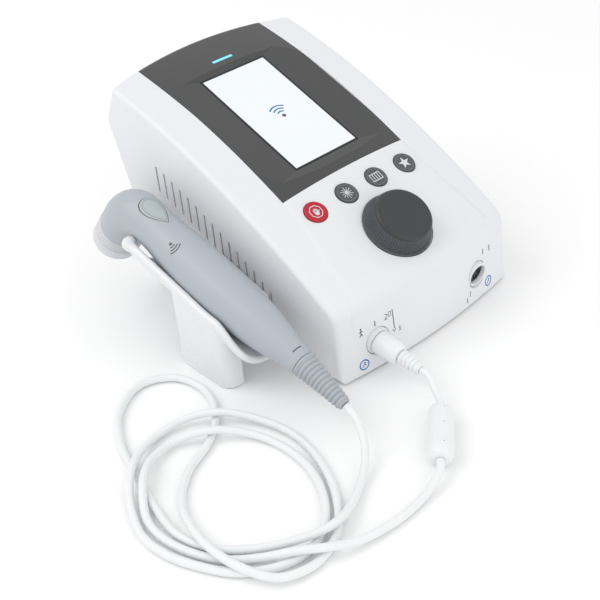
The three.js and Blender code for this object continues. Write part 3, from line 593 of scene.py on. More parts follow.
def make_bead():
    """The ferrite bead's housing, with three moulding dimples."""
    back, front = BEAD_ENDS
    half = (front - back).length / 2
    turn = (front - back).to_track_quat("Z", "Y").to_matrix().to_4x4()
    middle = Matrix.Translation(((back + front) / 2 - ORIGIN) * MM) @ turn @ Matrix.Scale(MM, 4)
    outline = [(0, -half), (4.2, -half), (6.4, -half + 1.1), (7.7, -half + 4.6), (7.7, half - 4.6),
               (6.4, half - 1.1), (4.2, half), (0, half)]
    profile = rounded(outline, [0, 1.6, 2.2, 3, 3, 2.2, 1.6, 0], 6)
    dimples = []
    up = middle.inverted().to_3x3() @ Vector((0, -0.35, 1))
    angle = math.atan2(up.y, up.x)
    outward = Matrix.Rotation(math.pi / 2, 4, "Y")
    for height in (-13.5, 2.5, 15.5):
        spin = Matrix.Rotation(angle, 4, "Z") @ Matrix.Translation((7.4, 0, height)) @ outward
        dimples.append(lathe_mesh([(0, -0.5), (0.45, -0.5), (0.55, 1), (0, 1)], middle @ spin, 12))
    mesh = carve(lathe_mesh(profile, middle, 56), (CUT, merged(dimples)))
    return finish_mesh(mesh, "ferrite_housing", CORD, "console", ["ferrite_bead"])


def make_cords():
    plug, relief = make_plug()
    bead = make_bead()
    facts = {"diameter": 2 * CORD_RADIUS * MM, "stiffness": "medium", "lay": "loose"}
    main, path = cord_piece("applicator_cord", ROUTE, "cord_applicator_side")
    # Along this line every loop lies more than 13 mm below the boot's end, so only the first
    # stretch follows the applicator.
    away, tip = Vector((0.276, 0.106, 0.955)), Vector(path[0])
    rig.blend(main, "console", "applicator", start=tip - 13.2 * MM * away, end=tip - 3.5 * MM * away)
    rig.cord(main, exit=path[0], length=length_of(path), far_end="fitting", path=path,
            with_pieces=[bead], **facts)
    short, path = cord_piece("plug_cord", PLUG_ROUTE, "cord_plug_side")
    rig.ride(short, "console")
    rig.cord(short, exit=path[0], length=length_of(path), far_end="plug", path=path,
            with_pieces=[relief, plug], **facts)


make_cords()

# ---------- console form ----------
SIDE_COLUMN = 54.0  # the crease runs along this column of the grid
CREASE = [(8, 63), (24, 60.7), (51, 54.4), (66, 54), (71.5, 53.1)]  # y, half width
CREASE_LOW = [(33, 68), (41, 67.3), (46.7, 66.4), (52, 63)]  # z, half width
CREASE_STEP = 0.3
EDGE_RADIUS = 3.0
FLAT_HALF = HALF_WIDTH - EDGE_RADIUS
WALL = 2.6
NO_LIMIT = 99
FRONT_FOOT, BACK_FOOT = (0.3, 1.5), (185.4, 1.5)  # y, z
FRONT_TOP = (3.4, 44)


def crowned(x, y, z):
    """Takes a point of the straight form to the crowned and bowed one."""
    across = bulge(x)
    front = FRONT_BOW * across * clamp(1 - y / FRONT_REACH)
    back = BACK_BOW * across * clamp((y - BACK_START) / BACK_REACH) * clamp(z / BACK_RISE)
    return Vector((x, y - front + back, z + CROWN * across * clamp(z / CROWN_RISE)))


def refined(points, longest):
    """A polyline with no step longer than the given one."""
    result = [points[0]]
    for a, b in zip(points, points[1:]):
        parts = max(1, math.ceil(math.dist(a, b) / longest))
        a, b = np.array(a), np.array(b)
        result += [tuple(a + (b - a) * n / parts) for n in range(1, parts + 1)]
    return result


def side_outline():
    """The console's outline in y, z, from its front foot round the back and over the top."""
    back = refined([BACK_FOOT, (218.1, 115)], 7)
    upper = arc_points((218.1, 115), (218.9, 117.7), (217.6, 120.2), count=7)[1:]
    corner = arc_points((206.5, 141.2), (205, 144), (202, 143.1), count=7)
    top = arc_points(*TOP, count=48)[::-1]
    nose = arc_points((10, 54), (3.8, 49.8), FRONT_TOP, count=12)[1:]
    front = refined([FRONT_TOP, FRONT_FOOT], 3)[1:-1]
    return [FRONT_FOOT] + back + upper + corner + top[1:] + nose + front


def outline_normals(points):
    """For each point the inward shift for an inset of one, and the largest inset it can take."""
    shifts = []
    for n, here in enumerate(points):
        before, after = Vector(points[n - 1]), Vector(points[(n + 1) % len(points)])
        here = Vector(here)
        one, two = (here - before), (after - here)
        normal_one, normal_two = (Vector((-v.y, v.x)).normalized() for v in (one, two))
        shift = (normal_one + normal_two) / (1 + normal_one.dot(normal_two))
        turn = one.angle(two) if one.length and two.length else 0
        near = max(one.length, two.length) < 3
        limit = 0.85 * min(one.length, two.length) / turn if near and turn > 0.02 else NO_LIMIT
        shifts.append((shift, limit))
    return shifts


def crease_at(y, z):
    """Half width of the crease at a point of the outline, and how far it has faded in."""
    if y >= 8:
        half = float(np.interp(y, *zip(*CREASE)))
    else:
        half = float(np.interp(z, *zip(*CREASE_LOW)))
    return half, clamp((z - 33) / 8) * clamp((205 - y) / 4)


def console_form(crease=False):
    """The closed outer form in console millimetres; its grid follows the crease."""
    outline = side_outline()
    shifts = outline_normals(outline)
    inner = list(np.linspace(0, SIDE_COLUMN, 19))
    outer = [SIDE_COLUMN + 0.45, SIDE_COLUMN + 0.9, SIDE_COLUMN + 2]
    outer += list(np.linspace(59, FLAT_HALF, 6))
    columns = [(u, 0.0) for u in inner + outer]
    for n in range(1, 6):
        angle = math.pi / 2 * n / 5
        columns.append((FLAT_HALF + EDGE_RADIUS * math.sin(angle), EDGE_RADIUS * (1 - math.cos(angle))))
    columns = [(-u, inset) for u, inset in columns[:0:-1]] + columns
    verts = []
    for u, inset in columns:
        for (y, z), (shift, limit) in zip(outline, shifts):
            half, fade = crease_at(y, z)
            size = abs(u)
            if size <= SIDE_COLUMN:
                x = size * half / SIDE_COLUMN
            elif size < FLAT_HALF:
                x = half + (size - SIDE_COLUMN) * (FLAT_HALF - half) / (FLAT_HALF - SIDE_COLUMN)
            else:
                x = size
            step = CREASE_STEP * fade * clamp((size - SIDE_COLUMN) / 0.9) if crease else 0
            move = min(inset + step, limit)
            verts.append(crowned(math.copysign(x, u), y + shift.x * move, z + shift.y * move))
    return verts, grid_faces(len(columns), len(outline))


def grid_faces(columns, rows):
    """Faces of a grid that closes round its rows, with a cap at each end."""
    faces = [tuple(range(rows)), tuple(range((columns - 1) * rows, columns * rows))]
    for column in range(columns - 1):
        for row in range(rows):
            a, b = column * rows + row, column * rows + (row + 1) % rows
            faces.append((a, b, b + rows, a + rows))
    return faces


def inner_form():
    """The hollow of the housing, open at the bottom."""
    top = arc_points(*TOP, count=16)[::-1]
    outline = [FRONT_FOOT, BACK_FOOT, (218.6, 117), (205, 143.7)] + top[1:] + [(3.6, 49.6)]
    shifts = outline_normals(outline)
    points = [Vector(p) + s * WALL for p, (s, _) in zip(outline, shifts)]
    points[0], points[1] = Vector((2.3, -10)), Vector((179.5, -10))
    columns = np.linspace(-(HALF_WIDTH - WALL), HALF_WIDTH - WALL, 25)
    verts = [crowned(float(x), p.x, p.y) for x in columns for p in points]
    return verts, grid_faces(len(columns), len(points))


def box(low, high, matrix=Matrix()):
    (x0, y0, z0), (x1, y1, z1) = low, high
    return prism([(x0, y0), (x1, y0), (x1, y1), (x0, y1)], z0, z1, matrix)


BOX_FACES = [(3, 2, 1, 0), (4, 5, 6, 7), (0, 1, 5, 4), (1, 2, 6, 5), (2, 3, 7, 6), (3, 0, 4, 7)]
SCREEN_Y, SCREEN_Z, SCREEN_TILT = 130.8, 119, 21.9
SCREEN_FRAME = placed(0, SCREEN_Y, SCREEN_Z, SCREEN_TILT)
REAR_FRAME = placed(0, 198, 45, -16.1)
KEY_NAMES = {"stop_key": -41.1, "light_key": -13.6, "list_key": 13.4, "star_key": 40.6}  # name, x
KEY_Y, KEY_TILT = 55.8, 30.5
KNOB_FRAME = placed(-1, 24.4, surface_height(-1, 24.4), 33)


def key_frame(x):
    return placed(x, KEY_Y, surface_height(x, KEY_Y), KEY_TILT)


def vent_slots():
    """Fifteen slots through each side, in a row that climbs with the top."""
    slots = []
    for y, top in arc_points((61, 44.6), (112.1, 78.4), (167.6, 98.2), count=15):
        for side in (-1, 1):
            corners = [(y - 0.85, top - 19.4), (y + 0.85, top - 19.4), (y + 0.85, top), (y - 0.85, top)]
            outline = rounded(corners, 0.8, 3, True)
            slots.append(prism(outline, side * HALF_WIDTH - 6, side * HALF_WIDTH + 6, SIDEWAYS))
    return slots


def bezel_zone(clearance):
    """The block that the bezel fills, cut square to the glass at the bottom."""
    half, front, low = 54 + clearance, 71 - clearance, -6 - clearance
    tilt = math.radians(SCREEN_TILT)
    verts = []
    for x in (-half, half):
        for y in (front, 240):
            z = SCREEN_Z + (y - SCREEN_Y) * math.tan(tilt) + low / math.cos(tilt)
            verts.append(Vector((x, y, z)))
        verts += [Vector((x, 240, 200)), Vector((x, front, 200))]
    return verts, BOX_FACES


def in_console(mesh, name, material, body, replaces=(), sharp=35):
    """finish_mesh() for a mesh in console millimetres."""
    mesh.transform(CONSOLE)
    return finish_mesh(mesh, name, material, body, replaces, sharp)


def make_housing():
    holes = [bezel_zone(0.3)]
    for x in KEY_NAMES.values():
        holes.append(lathe_mesh([(0, -14), (8.15, -14), (8.15, 20), (0, 20)], key_frame(x), 48))
    seat = [(0, -14), (4.2, -14), (4.2, -1.6), (24.4, -1.6), (24.4, 14), (0, 14)]
    holes.append(lathe_mesh(seat, KNOB_FRAME, 96))
    for x in SOCKETS.values():
        holes.append(lathe_mesh([(0, -20), (9.45, -20), (9.45, 12), (0, 12)], socket_frame(x), 48))
    holes += vent_slots()
    holes.append(box((-53, -20, -28), (53, 20, 28), REAR_FRAME))
    mesh = carve(console_form(True), (CUT, inner_form()), (CUT, merged(holes)))
    in_console(mesh, "housing_shell", WHITE, "console", ["upper_housing"], 30)


def make_bezel():
    """The frame round the screen, and the light guide flush in it."""
    wide, long = 28.6, 49.1  # half of the glass with its gap
    verts = []
    for half, front, back, z in ((wide, -long, long, 0), (wide + 109, -long - 29.9, long + 19.8, 8)):
        corners = ((-half, front), (half, front), (half, back), (-half, back))
        verts += [SCREEN_FRAME @ Vector((x, y, z)) for x, y in corners]
    window = box((-wide, -long, -20), (wide, long, 1), SCREEN_FRAME)
    lean = Matrix.Rotation(math.atan2(12.4, -5) - math.pi / 2, 4, "X")
    slot = SCREEN_FRAME @ Matrix.Translation((0, 59.2, 2)) @ lean
    recess = verts, BOX_FACES
    guide = carve(console_form(), (KEEP, box((-8.5, -0.95, -2.1), (8.5, 0.95, 3), slot)), (CUT, recess))
    in_console(guide, "light_guide", CYAN, "console", ["light_bar"], 30)
    bezel = carve(console_form(), (KEEP, bezel_zone(0)), (CUT, recess), (CUT, window),
                  (CUT, box((-8.6, -1.05, -2.3), (8.6, 1.05, 3), slot)))
    bezel = in_console(bezel, "screen_bezel", CHARCOAL, "console", ["display_bezel"], 4)
    # The bevel faces take slot 1, the painted highlight along the recess edges.
    bezel.data.materials.append(CHARCOAL_PAINTED_HIGHLIGHT)
    bevelled(bezel, 0.35, 12).material = 1


# ---------- flat marks ----------
def ribbon(points, width, closed=False):
    """A flat line of even width along (x, y) points."""
    half, verts, faces = width / 2, [], []
    count = len(points)
    for n, point in enumerate(points):
        here = Vector(point)
        before = Vector(points[n - 1]) if closed or n else here
        after = Vector(points[(n + 1) % count]) if closed or n < count - 1 else here
        one, two = (here - before), (after - here)
        one = one.normalized() if one.length else two.normalized()
        two = two.normalized() if two.length else one
        side = Vector((-(one.y + two.y), one.x + two.x)) / (1 + one.dot(two))
        verts += [here + side * half, here - side * half]
    for n in range(count if closed else count - 1):
        a, b = 2 * n, 2 * ((n + 1) % count)
        faces.append((a, a + 1, b + 1, b))
    return [Vector((v.x, v.y, 0)) for v in verts], faces


def circle(radius, count, centre=(0, 0)):
    points = [polar(radius, 2 * math.pi * n / count) for n in range(count)]
    return [(centre[0] + x, centre[1] + y) for x, y in points]


def disc(radius, centre=(0, 0)):
    points = circle(radius, 28, centre)
    return [Vector((x, y, 0)) for x, y in points], [tuple(range(len(points)))]


def waves(radii, low, high, count, width, drop=0):
    """Arcs of even width about a point, between two angles in degrees."""
    arcs = []
    for radius in radii:
        points = [polar(radius, a) for a in np.linspace(math.radians(low), math.radians(high), count)]
        arcs.append(ribbon([(x, y - drop) for x, y in points], width))
    return arcs


def printed(name, shapes, place, material, body):
    """Thin ink laid on a surface, and the keys' painted highlight rings; place maps a flat point to console
    millimetres.
    """
    verts, faces = merged(shapes)
    return piece(name, [CONSOLE @ place(v) for v in verts], faces, material, body, sharp=80)


def lifted(frame_here, height):
    """The place of ink at a height over a frame."""
    return lambda v: frame_here @ Vector((v.x, v.y, height))


def star_outline(count, outer, inner):
    points = []
    for n in range(2 * count):
        points.append(polar(inner if n % 2 else outer, math.pi / 2 + math.pi * n / count))
    return [Vector((x, y, 0)) for x, y in points], [tuple(range(2 * count))]


def key_icons():
    """A generic hand in an octagon, a burst, a page with lines and a star."""
    octagon = [polar(4.6, math.pi / 8 + n * math.pi / 4) for n in range(8)]
    hand = [ribbon(octagon, 0.55, True), disc(1.7, (0, -1.2)), ribbon([(1.2, -1.4), (2.7, 0.2)], 0.6)]
    for x, top in ((-1.5, 1.5), (-0.5, 2.3), (0.5, 2.3), (1.5, 1.5)):
        hand.append(ribbon([(x, -0.4), (x, top)], 0.62))
    rays = []
    for n in range(12):
        a, reach = n * math.pi / 6, 4.7 if n % 2 else 3.9
        rays.append(ribbon([polar(0.9, a), polar(reach, a)], 0.42))
    page = [ribbon([(-4.1, -2.7), (4.1, -2.7), (4.1, 2.7), (-4.1, 2.7)], 0.6, True)]
    page += [ribbon([(x, -2.2), (x, 2.2)], 0.6) for x in (-2, 0, 2)]
    return {"stop_key": hand, "light_key": rays + [disc(1.5)], "list_key": page,
            "star_key": [star_outline(5, 4.8, 1.9)]}


def make_keys():
    outline = [(0, -5), (8.9, -5), (8.9, -3.6), (7.7, -3.6), (7.7, 0.9), (0, 0.9)]
    profile = rounded(outline, [0, .3, .3, .3, .55, 0], 4)
    profile[-1:] = [(6.95, 0.9), (6.75, 0.7), (6.5, 0.66), (4, 0.64), (0, 0.62)]
    for name, x in KEY_NAMES.items():
        material = KEY_RED if name == "stop_key" else KEY
        lathe(name + "_cap", profile, CONSOLE @ key_frame(x), material, name, [name], 64, sharp=50)
    for name, shapes in key_icons().items():
        frame_here = key_frame(KEY_NAMES[name])
        if name != "stop_key":
            # The ring is a painted highlight along the cap's edge.
            ring = [ribbon(circle(6.3, 48), 0.3, True)]
            printed(name + "_ring", ring, lifted(frame_here, 0.7), KEY_PAINTED_HIGHLIGHT, name)
        printed(name + "_icon", shapes, lifted(frame_here, 0.72), PRINT_WHITE, name)


KNOB_SIDES, KNOB_RIBS = 288, 72


def make_knob():
    """The dial: a smooth cap and rim with a ribbed grip between them."""
    low = -1.3
    profile = [(3.3, low), (22.9, low), (23.5, low + 0.25), (23.6, low + 0.7), (23.45, -0.1),
               (22.9, 0.15), (22.35, 0.2), (22.2, 0.7), (22.05, 1.6)]
    profile += [(22.05 - 2.55 * n / 8, 1.6 + 8.4 * n / 8) for n in range(1, 9)]
    profile += [(19.3, 10.9), (18.9, 11.75), (18.3, 12.45), (17.5, 12.85), (16.8, 13), (16.3, 12.9),
                (15.8, 12.86), (9, 12.82), (0, 12.8)]
    closing = [(0, 10.6), (3.3, 10.6), (3.3, low)]

    def ribbed(v):
        radius = math.hypot(v.x, v.y)
        if radius < 18.8 or not 0.5 < v.z < 10.6:
            return v
        fade = clamp((v.z - 0.9) / 0.8) * clamp((10.4 - v.z) / 0.8)
        scale = 1 + 0.015 * fade * math.cos(KNOB_RIBS * math.atan2(v.y, v.x))
        return Vector((v.x * scale, v.y * scale, v.z))

    frame_here = CONSOLE @ KNOB_FRAME
    verts, faces = merged([lathe_mesh(profile, frame_here, KNOB_SIDES, ribbed),
                           lathe_mesh(closing, frame_here, KNOB_SIDES)])
    # Slot 1, the ribbed band, takes the painted sheen, and slot 2, the flange, the painted highlight.
    dial = piece("dial", verts, faces, [KNOB, KNOB_PAINTED_SHEEN, KNOB_RIM_PAINTED_HIGHLIGHT], "knob", ["control_knob"], 40)
    back = frame_here.inverted()
    for polygon in dial.data.polygons:
        middle = back @ polygon.center
        if middle.z < 10.3 and math.hypot(middle.x, middle.y) > 18:
            polygon.material_index = 1 if middle.z > 0.5 else 2


def make_screen():
    """The cover glass, the lit area a border smaller, and a generic mark on it."""
    for name, border, corner, count, low, high, material, nodes in (
        ("cover_glass", 0, 1.0, 4, -1.4, 0, GLASS_EDGE, ["touch_glass"]),
        ("lit_area", 1.35, 0.3, 2, -0.2, 0.03, SCREEN, []),
    ):
        wide, long = 28.3 - border, 48.8 - border
        corners = [(-wide, -long), (wide, -long), (wide, long), (-wide, long)]
        verts, faces = prism(rounded(corners, corner, count, True), low, high, CONSOLE @ SCREEN_FRAME)
        piece(name, verts, faces, material, "console", nodes, 40)
    place = lifted(SCREEN_FRAME, 0.07)
    printed("screen_waves", waves((4.2, 7.0, 9.8), 50, 130, 17, 1.1, 5.5), place, PRINT_BLUE, "console")
    printed("screen_dot", [disc(1.5, (0, -5.5))], place, PRINT_GREY, "console")


# ---------- prints on the front ----------
PRINT_LIFT = 0.05  # ink stands this far off its surface


def on_front(x, height):
    """A point of the front face at a console x and height above the table."""
    z = height / (1 + CROWN * bulge(x) / CROWN_RISE)
    y = 0.3 + (z - 1.5) * 3.1 / 42.5
    return crowned(x, y, z) - Vector((0, PRINT_LIFT, 0))


def walker(x, height, size):
    """A small generic standing figure."""
    s = size / 6
    lines = [[(0, 1.4), (0, -0.6)], [(0, -0.6), (-1.1, -2.8)], [(0, -0.6), (1.1, -2.8)],
             [(-1.2, 0.2), (0, 1.2), (1.2, 0.4)]]
    shapes = [ribbon([(x + s * a, height + s * b) for a, b in line], 0.65 * s) for line in lines]
    return shapes + [disc(0.7 * s, (x, height + 2.4 * s))]


def make_prints():
    """Figures and strokes by the sockets, and a ringed mark under each."""
    place = lambda v: on_front(v.x, v.y)
    grey = walker(-62.2, 32, 6) + walker(-51.1, 33.4, 4) + walker(-31.6, 20.4, 4)
    strokes = [
        ([(-42.8, 32.8), (-40.6, 34.8), (-42.8, 36.2)], 0.5), ([(-43.4, 32.2), (-40.8, 32.2)], 0.6),
        ([(-39.8, 33), (-38, 33), (-38, 36.2), (-39.8, 36.2)], 0.4, True),
        ([(-36.6, 36.8), (-36, 22.6)], 0.7), ([(-37.6, 22.2), (-36.2, 20.4), (-35.2, 22.4)], 0.5),
        ([(46.8, 30.6), (44.6, 28.2)], 0.7), ([(42.6, 26.6), (40.9, 24.2)], 0.6),
        ([(39.4, 22.6), (37.6, 15)], 0.35), ([(37.4, 11.6), (36.6, 7.8)], 0.7),
    ]
    grey += walker(53.3, 34.1, 4) + walker(60.8, 33.2, 4.6) + walker(33.4, 6.4, 4)
    grey += [ribbon(*stroke) for stroke in strokes]
    printed("front_pictograms", grey, place, PRINT_GREY, "console")
    for name, x, height in (("left", -62.4, 8.3), ("right", 58.2, 8.8)):
        bent = [(x - 1.3, height - 1.9), (x - 0.2, height + 0.3), (x + 1.5, height - 0.6)]
        shapes = [ribbon(circle(3.4, 36, (x, height)), 0.95, True), disc(0.75, (x + 0.6, height + 1.2)),
                  ribbon(bent, 0.6)]
        printed(name + "_socket_mark", shapes, place, PRINT_BLUE, "console")


def make_sockets():
    """Each socket's ring and its insert with six pin holes; the empty one's face shows at its mouth."""
    ring = [(7, -16), (9, -16), (9, 0.3), (8.75, 0.8), (8.3, 1.05), (7.6, 1.05), (7.2, 0.9), (7, 0.5),
            (7, -16)]
    for side, face in (("left", -6), ("right", -1.6)):
        here, nodes = socket_frame(SOCKETS[side]), [side + "_socket_sleeve"]
        lathe(side + "_socket_ring", ring, CONSOLE @ here, WHITE, "console", nodes, 64)
        insert = [(0, -15), (6.7, -15), (6.7, face - 0.3), (6.4, face), (4.9, face), (4.7, face + 0.6),
                  (4.2, face + 0.6), (4, face), (0, face)]
        pins = []
        for n in range(6):
            spin = Matrix.Rotation(n * math.pi / 3, 4, "Z") @ Matrix.Translation((2.6, 0, 0))
            pins.append(lathe_mesh([(0, -9), (0.75, -9), (0.75, 2), (0, 2)], here @ spin, 14))
        mesh = carve(lathe_mesh(insert, here, 48), (CUT, merged(pins)))
        in_console(mesh, side + "_socket_insert", BLACK, "console", [side + "_socket_contacts"])


# ---------- applicator ----------
PLANE_X = -108.0  # the applicator's upright plane
CENTRE_LINE = [(-30.8, 21.8), (-14, 28.6), (1.7, 34.4), (20, 39.8), (38.3, 45), (73.5, 55.2),
               (106.5, 65.8), (130, 74.6), (146, 80.2), (158, 79.4), (168.5, 71.6), (178.5, 59.6),
               (188.5, 48)]  # y, z from the boot's end to the head's face
BOOT_LENGTH, COLLAR_LENGTH = 35.4, 21.0
SHELL_START = 35.7


def centre_table():
    """Points of the uniform Catmull-Rom curve through the centre line, with their arc length."""
    p = [np.array(q, float) for q in CENTRE_LINE]
    points = []
    for n in range(len(p) - 1):
        p0, p1, p2, p3 = p[max(n - 1, 0)], p[n], p[n + 1], p[min(n + 2, len(p) - 1)]
        v0, v1 = (p2 - p0) / 2, (p3 - p1) / 2
        cubic, square = 2 * p1 - 2 * p2 + v0 + v1, -3 * p1 + 3 * p2 - 2 * v0 - v1
        for t in np.linspace(0, 1, 40, endpoint=False):
            points.append(cubic * t ** 3 + square * t ** 2 + v0 * t + p1)
    points.append(p[-1])
    points = np.array(points)
    steps = np.linalg.norm(np.diff(points, axis=0), axis=1)
    return points, np.concatenate([[0], np.cumsum(steps)])


CENTRE_POINTS, CENTRE_ALONG = centre_table()
LENGTH = float(CENTRE_ALONG[-1])
SHELL_END = LENGTH - COLLAR_LENGTH - 0.3


def station(along):
    """Centre and tangent (y, z) at a distance along the line; the neck runs straight into the head."""
    at = lambda s: np.array([np.interp(s, CENTRE_ALONG, CENTRE_POINTS[:, n]) for n in (0, 1)])
    along = min(max(along, 0), LENGTH)
    centre = at(along)
    tangent = at(min(along + 0.6, LENGTH)) - at(max(along - 0.6, 0))
    tangent /= np.linalg.norm(tangent)
    end = at(LENGTH) - at(LENGTH - 0.5)
    end /= np.linalg.norm(end)
    part = clamp((along - (LENGTH - 40)) / 18)
    part = part * part * (3 - 2 * part)
    centre = centre * (1 - part) + (at(LENGTH) - end * (LENGTH - along)) * part
    tangent = tangent * (1 - part) + end * part
    return centre, tangent / np.linalg.norm(tangent)


def bend(v):
    """Takes a turned form about z to the centre line: z is the distance along it."""
    centre, tangent = station(v.z)
    return Vector((PLANE_X + v.x, centre[0] - tangent[1] * v.y, centre[1] + tangent[0] * v.y))


# Distances along the centre line, and the radius there.
HANDLE = [(SHELL_START, 8.4), (48, 9.9), (60, 12.4), (74, 14.6), (92, 16.1), (112, 16.8), (134, 16.9),
          (152, 15.8), (166, 14.5), (182, 14.4), (196, 15.4), (208, 16), (SHELL_END, 16.2)]
HANDLE_FINE = np.array(spline_through(HANDLE, 8))


def handle_radius(along):
    return float(np.interp(along, HANDLE_FINE[:, 0], HANDLE_FINE[:, 1]))


def handle_form(grow):
    """The closed form of the handle and neck, grown by a little."""
    rows = [(handle_radius(s) + grow, s) for s in np.linspace(SHELL_START, SHELL_END, 84)]
    start = [(0, SHELL_START), (rows[0][0] - 0.8, SHELL_START), (rows[0][0] - 0.25, 35.95)]
    rows[0] = (rows[0][0], 36.5)
    end = [(rows[-1][0] - 0.3, SHELL_END), (0, SHELL_END)]
    rows[-1] = (rows[-1][0], SHELL_END - 0.3)
    return lathe_mesh(start + rows + end, Matrix(), 72, bend)


def frame_on(along):
    """A frame on the centre line, whose y runs along it."""
    centre, tangent = station(along)
    return placed(PLANE_X, centre[0], centre[1], math.degrees(math.atan2(tangent[1], tangent[0])))


HEAD_FRAME = frame_on(LENGTH) @ Matrix.Rotation(-math.pi / 2, 4, "X")
THUMB_FRAME = frame_on(180)


def teardrop(g):
    """The thumb pad's outline, grown by g."""
    curves = [
        [(0, -15.5 - g), (7.4 + g, -6), (7.2 + g, 2)],
        [(7.2 + g, 2), (6.6 + g, 9 + g), (0, 9.4 + g)],
        [(0, 9.4 + g), (-6.6 - g, 9 + g), (-7.2 - g, 2)],
        [(-7.2 - g, 2), (-7.4 - g, -6), (0, -15.5 - g)],
    ]
    return [p for curve in curves for p in arc_points(*curve)[:-1]]


def on_handle(along, angle, lift=PRINT_LIFT):
    """A point of the handle's skin; angle 0 is on top and grows towards the viewer's side."""
    radius = handle_radius(along) + lift
    return bend(Vector((-radius * math.sin(angle), radius * math.cos(angle), along)))


def make_handle():
    shell = carve(handle_form(0), (CUT, prism(teardrop(0.6), 9, 30, THUMB_FRAME)))
    in_console(shell, "handle_shell", APPLICATOR, "applicator",
               ["applicator_left_shell", "applicator_right_shell"], 40)


def make_thumb_pad():
    """The pad on the neck, a little proud of it, and the ring printed on it."""
    pad = carve(handle_form(0.25), (KEEP, prism(teardrop(0), 10.3, 30, THUMB_FRAME)))
    bevelled(in_console(pad, "thumb_pad", PAD, "thumb_key", ["thumb_key"], 40), 0.3, 50)

    stations = np.linspace(160, 196, 37)
    back = THUMB_FRAME.inverted()
    heights = [(back @ on_handle(s, 0)).y for s in stations]
    ring = [ribbon(refined(teardrop(-1.6) + teardrop(-1.6)[:1], 1.2)[:-1], 0.4, True)]

    def on_pad(v):
        along = float(np.interp(v.y, heights, stations))
        return on_handle(along, math.asin(-v.x / handle_radius(along)), 0.31)

    printed("thumb_pad_ring", ring, on_pad, PAD_RING, "thumb_key")


def make_head():
    """The ribbed collar and the metal face in it."""
    profile = [(13.6, -21), (15.2, -21), (15.5, -20.7)]
    for n in range(3):
        low = -20.3 + 3.4 * n
        profile += [(15.3, low), (15.9, low + 0.2), (16.4, low + 0.7), (16.5, low + 1.2),
                    (16.4, low + 1.9), (15.9, low + 2.4), (15.3, low + 2.6), (15.2, low + 3)]
    profile += [(15.3, -10), (16.2, -9.7), (16.5, -9), (16.5, -0.8), (16.25, -0.2), (15.7, 0), (14.9, 0),
                (14.6, -0.3), (14.6, -3.4), (13.6, -3.4), (13.6, -21)]
    lathe("collar", profile, CONSOLE @ HEAD_FRAME, COLLAR, "applicator", ["head_collar"], 96)
    face = [(0, -3.1), (14.3, -3.1), (14.3, 0.1), (14.1, 0.4), (13.6, 0.65), (12, 0.95), (8, 1.15),
            (0, 1.2)]
    lathe("metal_face", face, CONSOLE @ HEAD_FRAME, METAL, "applicator", ["treatment_face"], 96,
          sharp=30)


def make_boot():
    """The tapered boot with its eleven ribs."""
    ribs = [(0, 0), (3.6, 0), (4.1, 0.4)]
    for n in range(11):
        low = 1.5 + n * (BOOT_LENGTH - 4) / 11
        radius = 4.3 + 4.1 * low / BOOT_LENGTH
        ribs += [(radius - 0.6, low - 0.1), (radius - 0.1, low + 0.2), (radius + 0.25, low + 0.65),
                 (radius + 0.3, low + 1.2), (radius + 0.2, low + 1.7), (radius - 0.2, low + 2.1),
                 (radius - 0.6, low + 2.3)]
    ribs += [(7.9, BOOT_LENGTH - 1.6), (8.3, BOOT_LENGTH - 1.3), (8.4, BOOT_LENGTH - 0.2),
             (8.2, BOOT_LENGTH), (0, BOOT_LENGTH)]
    lathe("ribbed_boot", ribs, CONSOLE, BOOT, "applicator", ["cable_boot"], 48, bend)


def make_handle_marks():
    """A generic wave mark on the handle's side, and a dash near the boot."""
    shapes = waves((2.6, 4.6, 6.6), -42, 42, 13, 0.8) + [disc(1.1)]
    place = lambda v: on_handle(150 - v.x, 0.62 + v.y / 16)
    printed("handle_waves", shapes, place, PRINT_GREY, "applicator")
    dash = [ribbon([(0, y) for y in np.linspace(-3.4, 3.4, 13)], 0.75)]
    place = lambda v: on_handle(41.5 + v.x, 0.12 + v.y / 9)
    printed("handle_dash", dash, place, PRINT_GREY, "applicator")


# ---------- holder ----------
TROUGH_Y, TROUGH_Z, TROUGH_TILT = 70, 54.2, 17
TROUGH_FRAME = placed(PLANE_X, TROUGH_Y, TROUGH_Z, TROUGH_TILT)
TROUGH_AXIS = TROUGH_FRAME @ Matrix(((1, 0, 0, 0), (0, 0, 1, 0), (0, 1, 0, 0), (0, 0, 0, 1)))
WALL_RADIUS = 20.05  # to the middle of the trough's wall
LEAN = math.radians(TROUGH_TILT)


def trough_height(y):
    return TROUGH_Z + (y - TROUGH_Y) * math.tan(LEAN)


def on_trough(y, angle):
    """The middle of the trough's wall at a y; the angle runs from the far side down and round."""
    drop = WALL_RADIUS * math.sin(angle) / math.cos(LEAN)
    return (PLANE_X + WALL_RADIUS * math.cos(angle), y, trough_height(y) - drop)


def on_rim(y, z):
    """The middle of the near wall just under its rim at a y, z."""
    drop = (trough_height(y) - z) * math.cos(LEAN)
    return (max(-127.6, PLANE_X - math.sqrt(max(0, WALL_RADIUS ** 2 - drop ** 2))), y, z - 0.8)


# What stands above the low far wall, and the room that the handle lies in.
FAR_BLOCK = box((0, -200, -9), (60, 200, 60), TROUGH_FRAME)
BORE = lathe_mesh([(0, -60), (19.1, -60), (19.1, 90), (0, 90)], TROUGH_AXIS, 64)


def holder_leg():
    """The leg: a bent plate from the table up to the trough."""
    left, inside = -130.2, -126.8
    plan = [(left, 96.5), (left, 59)] + arc_points((left, 59), (left, 50), (left + 9, 50))[1:]
    plan += [(-117, 50), (-117, 53.4)]
    plan += arc_points((inside + 6, 53.4), (inside, 53.4), (inside, 59.4)) + [(inside, 96.5)]
    slope = prism([(30, 34), (60, 49), (120, 67), (120, 120), (30, 120)], -140, -90, SIDEWAYS)
    return carve(prism(plan, 0, 60, Matrix()), (CUT, BORE), (CUT, slope))


